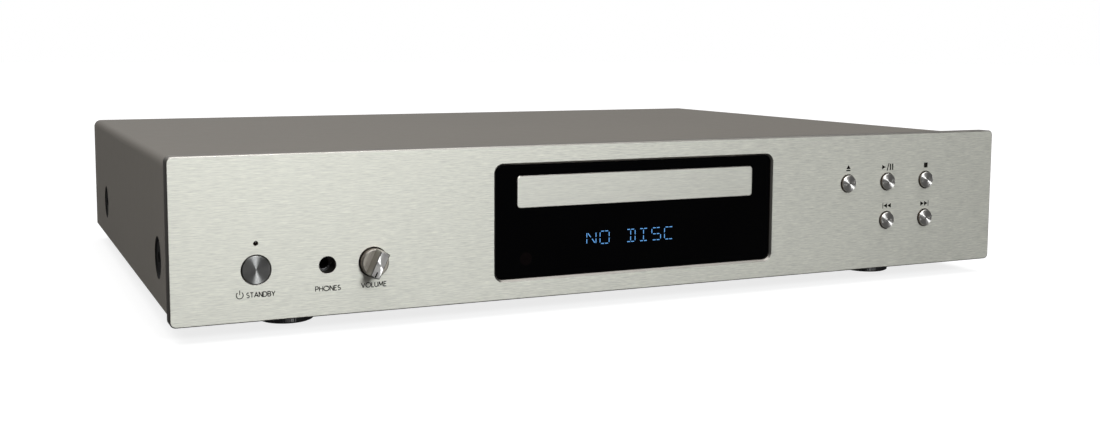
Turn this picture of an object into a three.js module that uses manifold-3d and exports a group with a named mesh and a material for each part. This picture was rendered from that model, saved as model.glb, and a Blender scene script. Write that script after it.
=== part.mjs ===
import * as THREE from "three";
import { mergeVertices } from "three/addons/utils/BufferGeometryUtils.js";
import Module from "manifold-3d";

// A full-width compact disc player, in millimetres.
// X runs across the front, Z runs up from the floor, and Y runs from the front panel's face (Y = 0) to the back.
// The finished group is then moved along Y so that its origin is under the middle of the whole object.

const wasm = await Module();
wasm.setup();

// ---------------------------------------------------------------- dimensions

const GAP = 0.3; // between pieces that would touch

const PANEL = { w: 430, h: 69.2, t: 7.6, z: 7.2, r: 2.5, edge: 0.45 };
const COVER = { half: 213.5, top: 74.2, bottom: 9.7, front: 7.9, rear: 313, t: 1.5, bend: 4 };
const REAR = { y0: 310, y1: 311.2 };
const KNOB_FRONT = -10;
const JACK_END = 321.5;
const CENTRE_Y = (KNOB_FRONT + JACK_END) / 2;

const WINDOW = { half: 73.3, z0: 16.2, z1: 67.8, r: 3.5, bevel: 0.9, y0: 1.5, y1: 4.5 };
const TRAY_FRONT = { half: 62.7, z0: 48.1, z1: 62.8, r: 1.6, y0: 0.9, y1: 3.9 };

const STANDBY = { x: -180, z: 28.8, r: 5.95 };
const LED = { x: -180, z: 39.8 };
const PHONES = { x: -150, z: 28.8, bore: 3.25, hole: 3.6 };
const VOLUME = { x: -130, z: 28.8, r: 6, disc: -3.4, bar: 4.4, tilt: 25.5 };
const BUTTON = { r: 4.2, upper: 51.8, lower: 31.9, xs: [120, 145, 170] };
const PRESS_CLEAR = GAP;

const FOOT = { r: 12, x: 160, front: 34.2, rear: 280, top: 9.4 };
const FLOOR_TOP = 10.9; // upper face of the chassis floor
const SIDE_SCREW = { z: 29.9, front: 40.5, rear: 250.5, dish: 9, depth: 2.3 };

const DISC = { y: 70.5, r12: 60.7, r8: 40.7 }; // centre of the disc on the closed tray
const TRAY = { half: 62.3, top: 58.5, floor: 53.6, y0: 4.2, y1: 172, skirt: 50 };
const SLOT_HALF = 20; // the tray's opening for the turntable and the lens

const TRAY_GEAR = { x: -46, y: 34, m: 1, n: 16, n2: 22 }; // both stages have 1 mm module
const PULLEY_GEAR = { x: -29, y: 34, n: 12, r: 9 };
const MOTOR = { x: 6, y: 34, r: 3 };
const BELT = { z0: 40.6, z1: 42.2, t: 1.2, gap: 0.15 };

const DECK = { py: 168, pz: 45, drop: 6, plate: 46.2, t: 1.5 }; // pivot line and how far the deck hangs down
const RAIL = { x: 22, z: 51, r: 1.5 };
const LENS_Y = 94.5;
const SLED_PINION = { x: 30.5, y: 124, m: 0.5, n: 16 };
const CAM = { travel: 22, low: 36.45, high: 49, y0: 46.5, y1: 50 };

// ---------------------------------------------------------------- helpers

const V = (x, y) => new THREE.Vector2(x, y);

function solid(geometry) {
  const bare = new THREE.BufferGeometry().setAttribute("position", geometry.getAttribute("position"));
  if (geometry.index) bare.setIndex(geometry.index);
  const m = mergeVertices(bare, 1e-4);
  return new wasm.Manifold(
    new wasm.Mesh({ numProp: 3, vertProperties: m.attributes.position.array, triVerts: new Uint32Array(m.index.array) }),
  );
}

function geometryOf(manifold) {
  const m = manifold.getMesh();
  const v = new Float32Array(m.numVert * 3);
  for (let i = 0; i < m.numVert; i++) v.set(m.vertProperties.subarray(i * m.numProp, i * m.numProp + 3), i * 3);
  return new THREE.BufferGeometry()
    .setAttribute("position", new THREE.BufferAttribute(v, 3))
    .setIndex(new THREE.BufferAttribute(m.triVerts.slice(), 1));
}

const unite = (...parts) => parts.reduce((a, b) => a.add(b));
const cut = (body, ...tools) => tools.reduce((a, b) => a.subtract(b), body);

function placed(geometry, matrix) {
  return solid(geometry.applyMatrix4(matrix));
}

// An axis-aligned block from its two corners.
function block(x0, y0, z0, x1, y1, z1) {
  const g = new THREE.BoxGeometry(x1 - x0, y1 - y0, z1 - z0);
  g.translate((x0 + x1) / 2, (y0 + y1) / 2, (z0 + z1) / 2);
  return solid(g);
}

// The outline of a rectangle with rounded corners.
function roundRect(x0, y0, x1, y1, r, n = 5) {
  const pts = [];
  const arc = (cx, cy, a0) => {
    for (let i = 0; i <= n; i++) {
      const a = a0 + (i / n) * (Math.PI / 2);
      pts.push(V(cx + r * Math.cos(a), cy + r * Math.sin(a)));
    }
  };
  arc(x1 - r, y1 - r, 0);
  arc(x0 + r, y1 - r, Math.PI / 2);
  arc(x0 + r, y0 + r, Math.PI);
  arc(x1 - r, y0 + r, 1.5 * Math.PI);
  return pts;
}

function ring(cx, cy, r, n = 24, phase = 0) {
  return Array.from({ length: n }, (_, i) => {
    const a = phase + (i / n) * 2 * Math.PI;
    return V(cx + r * Math.cos(a), cy + r * Math.sin(a));
  });
}

// A straight prism of an outline, between two heights along an axis.
function prism(axis, outline, a, b) {
  const g = new THREE.ExtrudeGeometry(new THREE.Shape(outline), { depth: b - a, bevelEnabled: false, steps: 1 });
  return placed(g, axisMatrix(axis, a));
}

// z: the outline is (x, y). y: the outline is (x, z). x: the outline is (y, z).
function axisMatrix(axis, a) {
  const m = new THREE.Matrix4();
  if (axis === "z") return m.makeTranslation(0, 0, a);
  if (axis === "x")
    return m.makeBasis(new THREE.Vector3(0, 1, 0), new THREE.Vector3(0, 0, 1), new THREE.Vector3(1, 0, 0)).setPosition(a, 0, 0);
  return m.set(1, 0, 0, 0, 0, 0, 1, a, 0, 1, 0, 0, 0, 0, 0, 1);
}

function prismY(outline, y0, y1) {
  // Swapping Y and Z mirrors the outline, so the faces are turned round again.
  const g = new THREE.ExtrudeGeometry(new THREE.Shape(outline), { depth: y1 - y0, bevelEnabled: false, steps: 1 });
  g.applyMatrix4(axisMatrix("y", y0));
  return solid(flipped(g));
}

function flipped(g) {
  const flat = g.index ? g.toNonIndexed() : g;
  const p = flat.getAttribute("position").array;
  for (let i = 0; i < p.length; i += 9)
    for (let k = 0; k < 3; k++) [p[i + 3 + k], p[i + 6 + k]] = [p[i + 6 + k], p[i + 3 + k]];
  return new THREE.BufferGeometry().setAttribute("position", new THREE.BufferAttribute(p, 3));
}

// A solid between two outlines of the same number of points, at two depths along Y.
function loftY(a, ya, b, yb) {
  const n = a.length;
  const p = [];
  const A = a.map((q) => [q.x, ya, q.y]);
  const B = b.map((q) => [q.x, yb, q.y]);
  const tri = (u, v, w) => p.push(...u, ...v, ...w);
  for (const [i, j, k] of THREE.ShapeUtils.triangulateShape(a, [])) tri(A[i], A[j], A[k]);
  for (const [i, j, k] of THREE.ShapeUtils.triangulateShape(b, [])) tri(B[i], B[k], B[j]);
  for (let i = 0; i < n; i++) {
    const j = (i + 1) % n;
    tri(A[i], B[j], A[j]);
    tri(A[i], B[i], B[j]);
  }
  return solid(new THREE.BufferGeometry().setAttribute("position", new THREE.BufferAttribute(new Float32Array(p), 3)));
}

// A turned piece: profile points are [radius, height along the axis], from low to high along it.
function turned(axis, at, profile, n = 20) {
  const g = new THREE.LatheGeometry(profile.map(([r, h]) => V(r, h)), n);
  const m = new THREE.Matrix4();
  const [X, Y, Z] = [new THREE.Vector3(1, 0, 0), new THREE.Vector3(0, 1, 0), new THREE.Vector3(0, 0, 1)];
  if (axis === "z") m.makeBasis(X, Z, Y.clone().negate());
  if (axis === "x") m.makeBasis(Y, X, Z.clone().negate());
  m.setPosition(...at);
  const s = solid(g.applyMatrix4(m));
  if (s.volume() < 0) throw new Error("profile runs the wrong way");
  return s;
}

function rod(axis, at, r, a, b, n = 20) {
  return turned(axis, at, [[0, a], [r, a], [r, b], [0, b]], n);
}

// Spur gear outline with involute flanks thinned for running clearance.
function gearOutline(m, n, cx, cy, phase, slack = 0.16) {
  const r = (m * n) / 2;
  const press = (20 * Math.PI) / 180;
  const rb = r * Math.cos(press);
  const rf = r - 1.2 * m;
  const ra = r + 0.85 * m;
  const inv = (a) => Math.tan(a) - a;
  const half = (rho) => (Math.PI * m * 0.5 - slack) / (2 * r) + inv(press) - inv(Math.acos(Math.min(1, rb / rho)));
  const pts = [];
  for (let i = 0; i < n; i++) {
    const mid = phase + (i / n) * 2 * Math.PI;
    const at = (rho, a) => pts.push(V(cx + rho * Math.cos(mid + a), cy + rho * Math.sin(mid + a)));
    const foot = half(Math.max(rb, rf));
    at(rf, -foot);
    at(ra, -half(ra));
    at(ra, half(ra));
    at(rf, foot);
  }
  return pts;
}

// Rack outline along Y: teeth point towards side (-1 or 1) of X, with a tooth space centred at y = space.
function rackOutline(m, pitchX, side, y0, y1, space, back, slack = 0.16) {
  const p = Math.PI * m;
  const t = Math.tan((20 * Math.PI) / 180);
  const tip = 0.85 * m;
  const root = 1.2 * m;
  const half = (h) => p / 4 - slack / 2 - h * t; // half thickness at height h above the pitch line
  const first = Math.ceil((y0 + p / 2 - space) / p - 0.5);
  const pts = [V(pitchX - side * root, y0)];
  for (let k = first; space + (k + 0.5) * p + p / 2 < y1; k++) {
    const c = space + (k + 0.5) * p;
    if (c - p / 2 < y0) continue;
    pts.push(V(pitchX - side * root, c - half(-root)), V(pitchX + side * tip, c - half(tip)));
    pts.push(V(pitchX + side * tip, c + half(tip)), V(pitchX - side * root, c + half(-root)));
  }
  pts.push(V(pitchX - side * root, y1), V(back, y1), V(back, y0));
  return pts;
}

// The outline of a bent strip of constant thickness through the given points.
function strip(points, t) {
  const left = [];
  const right = [];
  points.forEach((p, i) => {
    const a = points[Math.max(0, i - 1)];
    const b = points[Math.min(points.length - 1, i + 1)];
    const d1 = V(p.x - a.x, p.y - a.y);
    const d2 = V(b.x - p.x, b.y - p.y);
    if (!d1.length()) d1.copy(d2);
    if (!d2.length()) d2.copy(d1);
    const n = d1.normalize().clone().add(d2.normalize()).normalize();
    const k = t / 2 / Math.max(0.3, n.dot(d1));
    left.push(V(p.x - n.y * k, p.y + n.x * k));
    right.push(V(p.x + n.y * k, p.y - n.x * k));
  });
  return [...right, ...left.reverse()];
}

const object = new THREE.Group();
object.position.y = -CENTRE_Y;

const FINISH = {
  aluminium: { color: 0xc9c9c4, roughness: 0.35, metalness: 1 },
  spun: { color: 0xd6d6d4, roughness: 0.22, metalness: 1 },
  cover: { color: 0x5f5c56, roughness: 0.55, metalness: 0.35 },
  steel: { color: 0xa9abad, roughness: 0.4, metalness: 1 },
  zinc: { color: 0xb9bcc0, roughness: 0.45, metalness: 0.9 },
  black: { color: 0x101011, roughness: 0.5, metalness: 0 },
  gloss: { color: 0x050506, roughness: 0.08, metalness: 0 },
  grey: { color: 0x55585c, roughness: 0.6, metalness: 0 },
  white: { color: 0xe4e2da, roughness: 0.5, metalness: 0 },
  rubber: { color: 0x151515, roughness: 0.85, metalness: 0 },
  board: { color: 0x1d5a34, roughness: 0.5, metalness: 0 },
  copper: { color: 0xb06a3a, roughness: 0.35, metalness: 0.9 },
  lens: { color: 0x39406a, roughness: 0.05, metalness: 0 },
  led: { color: 0x3d0f0c, roughness: 0.2, metalness: 0 },
};

function add(name, body, finish, parent = object) {
  const mesh = new THREE.Mesh(geometryOf(body), new THREE.MeshStandardMaterial(FINISH[finish]));
  mesh.geometry.computeVertexNormals();
  mesh.name = name;
  parent.add(mesh);
  return mesh;
}

// ---------------------------------------------------------------- casing

const panelZ1 = PANEL.z + PANEL.h;
const buttonSpots = [
  ["eject_button", BUTTON.xs[0], BUTTON.upper],
  ["play_pause_button", BUTTON.xs[1], BUTTON.upper],
  ["stop_button", BUTTON.xs[2], BUTTON.upper],
  ["previous_button", BUTTON.xs[1], BUTTON.lower],
  ["next_button", BUTTON.xs[2], BUTTON.lower],
];

function frontPanel() {
  const half = PANEL.w / 2;
  const e = PANEL.edge;
  const face = (inset) => roundRect(-half + inset, PANEL.z + inset, half - inset, panelZ1 - inset, PANEL.r - inset * 0.6);
  const slab = unite(
    loftY(face(e), 0, face(0), e),
    prismY(face(0), e, PANEL.t),
  );
  const opening = (grow) =>
    roundRect(-WINDOW.half - grow, WINDOW.z0 - grow, WINDOW.half + grow, WINDOW.z1 + grow, WINDOW.r + grow);
  const b = WINDOW.bevel;
  return cut(
    slab,
    prismY(opening(0), -1, PANEL.t + 1),
    loftY(opening(b + 0.5), -0.5, opening(0), b),
    rod("y", [STANDBY.x, 0, STANDBY.z], STANDBY.r + GAP, -1, 9, 24),
    rod("y", [LED.x, 0, LED.z], 0.8 + 0.15, -1, 9, 12),
    rod("y", [PHONES.x, 0, PHONES.z], PHONES.hole, -1, 9, 24),
    rod("y", [VOLUME.x, 0, VOLUME.z], VOLUME.r + 0.4, -1, 9, 24),
    ...buttonSpots.map(([, x, z]) => rod("y", [x, 0, z], BUTTON.r + GAP, -1, 9, 16)),
  );
}
add("front_panel", frontPanel(), "aluminium");

const windowFace = prismY(
  roundRect(-WINDOW.half + GAP, WINDOW.z0 + GAP, WINDOW.half - GAP, WINDOW.z1 - GAP, WINDOW.r - GAP),
  WINDOW.y0,
  WINDOW.y1,
);
const traySlot = (grow, y0, y1) =>
  prismY(
    roundRect(-TRAY_FRONT.half - grow, TRAY_FRONT.z0 - grow, TRAY_FRONT.half + grow, TRAY_FRONT.z1 + grow, TRAY_FRONT.r + grow * 0.5, 4),
    y0,
    y1,
  );
add("display_window", cut(windowFace, traySlot(0.4, 0, 8)), "gloss");

// Black moulding behind the window: it fills the panel's opening and frames the tray slot and the display.
add(
  "display_bezel",
  cut(
    unite(
      prismY(roundRect(-72.6, 17, 72.6, 67, 3), 4.8, 8.2),
      prismY(roundRect(-80, 12.5, 80, 72, 3), 7.9, 9.9),
    ),
    traySlot(0.9, 0, 12),
    block(-45, 0, 24, 45, 12, 41),
    rod("y", [-58, 0, 25], 3, 0, 12, 16),
  ),
  "black",
);

// Steel plate behind the front panel that carries the controls.
add(
  "sub_front",
  cut(
    unite(
      block(-207.4, 10.2, 11.3, 207.4, 11.4, 72.2),
      block(-207.4, 11.3, 11.3, 207.4, 20.5, 12.5),
      block(-207.4, 11.3, 71, 207.4, 18, 72.2),
    ),
    block(-66, 9, 46.6, 66, 12, 65),
    block(-46.5, 9, 22.5, 46.5, 12, 42.6),
    rod("y", [-58, 0, 25], 3.2, 9, 12, 12),
    rod("y", [STANDBY.x, 0, STANDBY.z], 3, 9, 12, 16),
    rod("y", [LED.x, 0, LED.z], 2.2, 9, 12, 12),
    rod("y", [PHONES.x, 0, PHONES.z], 6, 9, 12, 20),
    rod("y", [VOLUME.x, 0, VOLUME.z], 4.9, 9, 12, 20),
    ...buttonSpots.map(([, x, z]) => rod("y", [x, 0, z], 3, 9, 12, 12)),
  ),
  "steel",
);

const feetSpots = [
  ["foot_front_left", -FOOT.x, FOOT.front],
  ["foot_front_right", FOOT.x, FOOT.front],
  ["foot_rear_left", -FOOT.x, FOOT.rear],
  ["foot_rear_right", FOOT.x, FOOT.rear],
];
const POWER_BOARD = { x0: -200, x1: -90, y0: 128, y1: 296 };
const MAIN_BOARD = { x0: 86, x1: 202, y0: 186, y1: 306 };
const BOARD_Z = 17;
const standoffSpots = [POWER_BOARD, MAIN_BOARD].flatMap((b) => [
  [b.x0 + 6, b.y0 + 6],
  [b.x1 - 6, b.y0 + 6],
  [b.x0 + 6, b.y1 - 22],
  [b.x1 - 6, b.y1 - 22],
]);

function chassisBase() {
  const wall = 209.4;
  let body = unite(
    block(-wall, 8.2, COVER.bottom, wall, 309.7, FLOOR_TOP),
    block(-wall, 12.8, COVER.bottom, -wall + 1.3, 309.7, 40),
    block(wall - 1.3, 12.8, COVER.bottom, wall, 309.7, 40),
    ...standoffSpots.map(([x, y]) => rod("z", [x, y, 0], 3.2, FLOOR_TOP - 0.5, BOARD_Z - GAP, 6)),
  );
  const slots = [];
  for (let i = 0; i < 7; i++) {
    slots.push(block(-190 + i * 14, 150, 9, -186 + i * 14, 240, 12));
    slots.push(block(100 + i * 14, 205, 9, 104 + i * 14, 262, 12));
  }
  return cut(
    body,
    ...slots,
    ...feetSpots.map(([, x, y]) => rod("z", [x, y, 0], 2.9, 9, 12, 12)),
    ...[SIDE_SCREW.front, SIDE_SCREW.rear].map((y) => rod("x", [0, y, SIDE_SCREW.z], 2.35, -215, 215, 12)),
  );
}
add("chassis_base", chassisBase(), "zinc");

const RCA = [[112, 33], [134, 33]];
const COAX = [160, 33];
const OPTICAL = { x: 184, z: 27 };
const INLET = { x: -165, z: 31 };
const SWITCH = { x: -122, z: 31 };

function rearPanel() {
  const vents = [];
  for (let i = 0; i < 12; i++) vents.push(block(-60 + i * 10.4, 309, 24, -56 + i * 10.4, 312, 52));
  return cut(
    prismY([V(-211.6, COVER.bottom), V(211.6, COVER.bottom), V(211.6, 70.6), V(209.8, 72.4), V(-209.8, 72.4), V(-211.6, 70.6)], REAR.y0, REAR.y1),
    ...[...RCA, COAX].map(([x, z]) => rod("y", [x, 0, z], 4.9, 309, 312, 20)),
    block(OPTICAL.x - 5.4, 309, OPTICAL.z - 5.4, OPTICAL.x + 5.4, 312, OPTICAL.z + 5.4),
    block(INLET.x - 13.9, 309, INLET.z - 10.1, INLET.x + 13.9, 312, INLET.z + 10.1),
    block(SWITCH.x - 6.6, 309, SWITCH.z - 9.8, SWITCH.x + 6.6, 312, SWITCH.z + 9.8),
    ...vents,
  );
}
add("rear_panel", rearPanel(), "black");

// One folded sheet: top and two sides with soft bends, and a dished seat for each side screw.
function topCover() {
  const { half, top, bottom, t, bend } = COVER;
  const profile = (h, z1, r) => {
    const pts = [V(-h, bottom)];
    for (let i = 0; i <= 5; i++) {
      const a = Math.PI - (i / 5) * (Math.PI / 2);
      pts.push(V(-h + r + r * Math.cos(a), z1 - r + r * Math.sin(a)));
    }
    return [...pts, ...pts.map((p) => V(-p.x, p.y)).reverse()];
  };
  const outer = profile(half, top, bend);
  const inner = profile(half - t, top - t, bend - t).reverse();
  let body = prismY([...outer, ...inner], COVER.front, COVER.rear);
  const seat = half - SIDE_SCREW.depth;
  for (const side of [-1, 1])
    for (const y of [SIDE_SCREW.front, SIDE_SCREW.rear]) {
      const at = [0, y, SIDE_SCREW.z];
      const along = (profilePts) =>
        side > 0 ? turned("x", at, profilePts, 16) : turned("x", at, profilePts.map(([r, h]) => [r, -h]).reverse(), 16);
      body = cut(
        unite(body, along([[0, seat - t], [8.6, seat - t], [10.2, half - 0.2], [0, half - 0.2]])),
        along([[0, seat], [7.9, seat], [SIDE_SCREW.dish, half - 0.5], [SIDE_SCREW.dish + 0.4, half + 0.4], [0, half + 0.4]]),
        along([[0, seat - 4], [2.4, seat - 4], [2.4, half], [0, half]]),
      );
    }
  return body;
}
add("top_cover", topCover(), "cover");

function coverScrew(side, y) {
  const seat = COVER.half - SIDE_SCREW.depth + GAP;
  const pts = [[0, 202], [2, 202], [2, seat], [7.3, seat], [7.3, seat + 0.9], [6.6, seat + 1.5], [0, seat + 1.5]];
  const at = [0, y, SIDE_SCREW.z];
  return side > 0 ? turned("x", at, pts, 14) : turned("x", at, pts.map(([r, h]) => [r, -h]).reverse(), 14);
}
add("cover_screw_front_left", coverScrew(-1, SIDE_SCREW.front), "black");
add("cover_screw_front_right", coverScrew(1, SIDE_SCREW.front), "black");
add("cover_screw_rear_left", coverScrew(-1, SIDE_SCREW.rear), "black");
add("cover_screw_rear_right", coverScrew(1, SIDE_SCREW.rear), "black");

for (const [name, x, y] of feetSpots)
  add(
    name,
    turned("z", [x, y, 0], [[0, 0], [FOOT.r - 0.5, 0], [FOOT.r, 0.5], [FOOT.r, FOOT.top], [2.5, FOOT.top], [2.5, 13.4], [0, 13.4]], 20),
    "gloss",
  );

// ---------------------------------------------------------------- front controls

const stem = [[1.5, 12.8], [0, 12.8]];
add(
  "standby_button",
  turned(
    "y",
    [STANDBY.x, 0, STANDBY.z],
    [[0, -0.35], [STANDBY.r - 0.7, -0.5], [STANDBY.r, 0.05], [STANDBY.r, 7.9], [7.2, 7.9], [7.2, 9], [1.5, 9], ...stem],
    24,
  ),
  "spun",
);
for (const [name, x, z] of buttonSpots)
  add(
    name,
    turned(
      "y",
      [x, 0, z],
      [[0, -1.4], [BUTTON.r - 0.4, -1.4], [BUTTON.r, -1], [BUTTON.r, 7.9], [5.6, 7.9], [5.6, 9], [1.5, 9], ...stem],
      16,
    ),
    "spun",
  );

add(
  "standby_led",
  turned("y", [LED.x, 0, LED.z], [[0, 0.25], [0.75, 0.35], [0.75, 12.2], [1.6, 12.2], [1.6, 16.7], [0, 16.7]], 12),
  "led",
);

// The knob is a cylinder milled down on both sides so that a grip bar is left across its face.
function volumeKnob() {
  const { x, z, r, disc, bar, tilt } = VOLUME;
  const at = [x, 0, z];
  const round = turned("y", at, [[0, KNOB_FRONT], [r - 0.6, KNOB_FRONT], [r - 0.25, KNOB_FRONT + 0.4], [r, disc + 0.4], [r, 6.5], [0, 6.5]], 28);
  const a = (-tilt * Math.PI) / 180;
  const across = V(Math.cos(a), Math.sin(a));
  const along = V(-across.y, across.x);
  const side = (s) => {
    const corner = (u, w) => V(x + across.x * u * s + along.x * w, z + across.y * u * s + along.y * w);
    const pts = [corner(bar / 2, -9), corner(12, -9), corner(12, 9), corner(bar / 2, 9)];
    return prismY(s > 0 ? pts : pts.reverse(), KNOB_FRONT - 1, disc);
  };
  return cut(round, side(1), side(-1), rod("y", at, 3.3, -2.3, 7, 20));
}
add("volume_knob", volumeKnob(), "aluminium");
add("volume_shaft", rod("y", [VOLUME.x, 0, VOLUME.z], 3, -2, 24.5, 20), "steel");
add(
  "volume_nut",
  cut(
    prismY(ring(VOLUME.x, VOLUME.z, 7, 6), 8.3, 9.9),
    rod("y", [VOLUME.x, 0, VOLUME.z], 4.8, 8, 10.5, 20),
  ),
  "steel",
);
add(
  "volume_pot",
  cut(
    unite(
      rod("y", [VOLUME.x, 0, VOLUME.z], 4.5, 8.2, 19, 20),
      block(VOLUME.x - 6.3, 18.9, VOLUME.z - 8.5, VOLUME.x + 6.3, 27, VOLUME.z + 6.5),
    ),
    rod("y", [VOLUME.x, 0, VOLUME.z], 3.35, 8, 25, 20),
  ),
  "grey",
);
add(
  "phones_jack",
  cut(
    unite(
      rod("y", [PHONES.x, 0, PHONES.z], 5.6, 7.9, 13, 24),
      block(PHONES.x - 8, 12, PHONES.z - 7.4, PHONES.x + 8, 35, PHONES.z + 7.4),
    ),
    rod("y", [PHONES.x, 0, PHONES.z], PHONES.bore, 7, 33, 32),
  ),
  "black",
);

// Control board with its push switches, and the display tube in front of it.
function frontBoard() {
  const outline = [V(-203, 13.6), V(203, 13.6), V(203, 60), V(104, 60), V(104, 45), V(-203, 45)];
  const board = cut(
    prismY(outline, 17, 18.6),
    block(PHONES.x - 8.4, 16, PHONES.z - 7.8, PHONES.x + 8.4, 20, PHONES.z + 7.8),
    rod("y", [VOLUME.x, 0, VOLUME.z], 5, 16, 20, 16),
  );
  const tact = (x, z) => block(x - 3, 13.9, z - 3, x + 3, 17.1, z + 3);
  return unite(
    board,
    tact(STANDBY.x, STANDBY.z),
    ...buttonSpots.map(([, x, z]) => tact(x, z)),
    block(-61, 13.4, 22, -55, 17.1, 28),
    block(123, 18.5, 17, 147, 20.6, 24),
    block(84, 18.5, 24, 98, 20.2, 38),
  );
}
add("front_board", frontBoard(), "board");
add("display_module", block(-44, 5.1, 24.6, 44, 16.7, 40.4), "grey");

// ---------------------------------------------------------------- disc loader

function loaderFrame() {
  const floor = [30, 32.5];
  const wall = (s) => {
    const x = (a, b) => (s > 0 ? [a, b] : [-b, -a]);
    const bar = (a, b, y0, z0, y1, z1) => block(x(a, b)[0], y0, z0, x(a, b)[1], y1, z1);
    return [
      bar(66.5, 70, 21, 30, 198, 60),
      bar(58, 67, 21, 47.4, 196, 49.7),
      bar(63.6, 67, 21, 52.8, 196, 54.8),
      bar(59, 68, 21.5, 11.2, 30, 31),
      bar(59, 68, 186, 11.2, 194.5, 31),
      bar(32.5, 36, 164, 30, 172, 49.2),
    ];
  };
  const post = (g, top) => rod("z", [g.x, g.y, 0], 1.9, 31, top, 12);
  const body = unite(
    block(-67, 21, floor[0], 67, 198, floor[1]),
    block(-67, 195, 31, 67, 198, 50),
    ...wall(-1),
    ...wall(1),
    block(-30, 45.3, 32, 34, 46.1, 34.6),
    block(-30, 50.4, 32, 34, 51.2, 34.6),
    post(TRAY_GEAR, 53),
    post(PULLEY_GEAR, 44.6),
  );
  return cut(
    body,
    block(-40, 51.6, 29, 40, 166, 33),
    rod("z", [MOTOR.x, MOTOR.y, 0], 2, 29, 33, 12),
    rod("x", [0, DECK.py, DECK.pz], 2.35, -37, 37, 16),
  );
}
add("loader_frame", loaderFrame(), "black");

function discTray() {
  const { half, top, floor, y0, y1, skirt } = TRAY;
  const plate = unite(
    block(-half, 6, floor, half, y1, top),
    block(-half, 6, skirt, -60, y1, top),
    block(60, 6, skirt, half, y1, top),
    block(-61.5, y0, 49.8, 61.5, 7.4, 61.6),
    block(-65.7, 148, 50.2, -61, y1, 52.3),
    block(61, 148, 50.2, 65.7, y1, 52.3),
    prism("z", rackOutline(TRAY_GEAR.m, TRAY_GEAR.x + (TRAY_GEAR.m * TRAY_GEAR.n) / 2, -1, 24, y1, TRAY_GEAR.y, -33), 50.3, floor + 0.5),
  );
  const wide = prism("z", ring(0, DISC.y, DISC.r12, 48), 56.3, top + 1);
  const small = prism("z", ring(0, DISC.y, DISC.r8, 32), 55.4, top + 1);
  return cut(
    plate,
    wide,
    small,
    prism("z", ring(0, DISC.y, SLOT_HALF, 24), 49, top + 1),
    block(-SLOT_HALF, DISC.y, 49, SLOT_HALF, 160, top + 1),
    block(-52, 138, 57, -26, 164, top + 1),
    block(26, 138, 57, 52, 164, top + 1),
  );
}
add("disc_tray", discTray(), "black");

add(
  "tray_front",
  unite(
    loftY(
      roundRect(-TRAY_FRONT.half + 0.4, TRAY_FRONT.z0 + 0.4, TRAY_FRONT.half - 0.4, TRAY_FRONT.z1 - 0.4, TRAY_FRONT.r - 0.2, 4),
      TRAY_FRONT.y0,
      roundRect(-TRAY_FRONT.half, TRAY_FRONT.z0, TRAY_FRONT.half, TRAY_FRONT.z1, TRAY_FRONT.r, 4),
      TRAY_FRONT.y0 + 0.4,
    ),
    prismY(roundRect(-TRAY_FRONT.half, TRAY_FRONT.z0, TRAY_FRONT.half, TRAY_FRONT.z1, TRAY_FRONT.r, 4), TRAY_FRONT.y0 + 0.4, TRAY_FRONT.y1),
  ),
  "aluminium",
);

add(
  "clamp_bridge",
  cut(
    unite(
      block(-70, DISC.y - 20, 62.6, 70, DISC.y + 20, 65),
      block(-70, DISC.y - 20, 60.3, -66.6, DISC.y + 20, 63),
      block(66.6, DISC.y - 20, 60.3, 70, DISC.y + 20, 63),
    ),
    rod("z", [0, DISC.y, 0], 14.6, 60, 67, 32),
  ),
  "zinc",
);
add(
  "clamper",
  turned("z", [0, DISC.y, 0], [[0, 65], [7, 65], [8.2, 61.7], [13.8, 61.7], [13.8, 65.3], [17, 65.3], [17, 66.8], [6, 67.4], [0, 67.4]], 24),
  "white",
);

add(
  "load_motor",
  cut(rod("z", [MOTOR.x, MOTOR.y, 0], 11, 15.5, 29.7, 28), rod("z", [MOTOR.x, MOTOR.y, 0], 1.3, 18, 31, 12)),
  "zinc",
);
const groove = (r, lip) => [[r + lip, BELT.z0 - 1.5], [r + lip, BELT.z0 - 0.9], [r, BELT.z0 - 0.3], [r, BELT.z1 + 0.3], [r + lip, BELT.z1 + 0.9], [r + lip, BELT.z1 + 1.5]];
add(
  "motor_pulley",
  turned("z", [MOTOR.x, MOTOR.y, 0], [[0, 18.6], [1, 18.6], [1, BELT.z0 - 1.5], ...groove(MOTOR.r, 1.6), [0, BELT.z1 + 1.5]], 14),
  "grey",
);
add(
  "pulley_gear",
  cut(
    unite(
      prism("z", gearOutline(TRAY_GEAR.m, PULLEY_GEAR.n, PULLEY_GEAR.x, PULLEY_GEAR.y, Math.PI / PULLEY_GEAR.n), 34, 39.2),
      turned("z", [PULLEY_GEAR.x, PULLEY_GEAR.y, 0], [[0, BELT.z0 - 1.5], ...groove(PULLEY_GEAR.r, 1.6), [0, BELT.z1 + 1.5]], 20),
    ),
    rod("z", [PULLEY_GEAR.x, PULLEY_GEAR.y, 0], 2.2, 30, 50, 12),
  ),
  "white",
);
add(
  "tray_gear",
  cut(
    unite(
      prism("z", gearOutline(TRAY_GEAR.m, TRAY_GEAR.n2, TRAY_GEAR.x, TRAY_GEAR.y, 0), 34.4, 37.6),
      rod("z", [TRAY_GEAR.x, TRAY_GEAR.y, 0], 5, 37, 50.6, 20),
      prism("z", gearOutline(TRAY_GEAR.m, TRAY_GEAR.n, TRAY_GEAR.x, TRAY_GEAR.y, 0), 50.5, 52.9),
    ),
    rod("z", [TRAY_GEAR.x, TRAY_GEAR.y, 0], 2.2, 30, 56, 12),
  ),
  "white",
);

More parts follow.
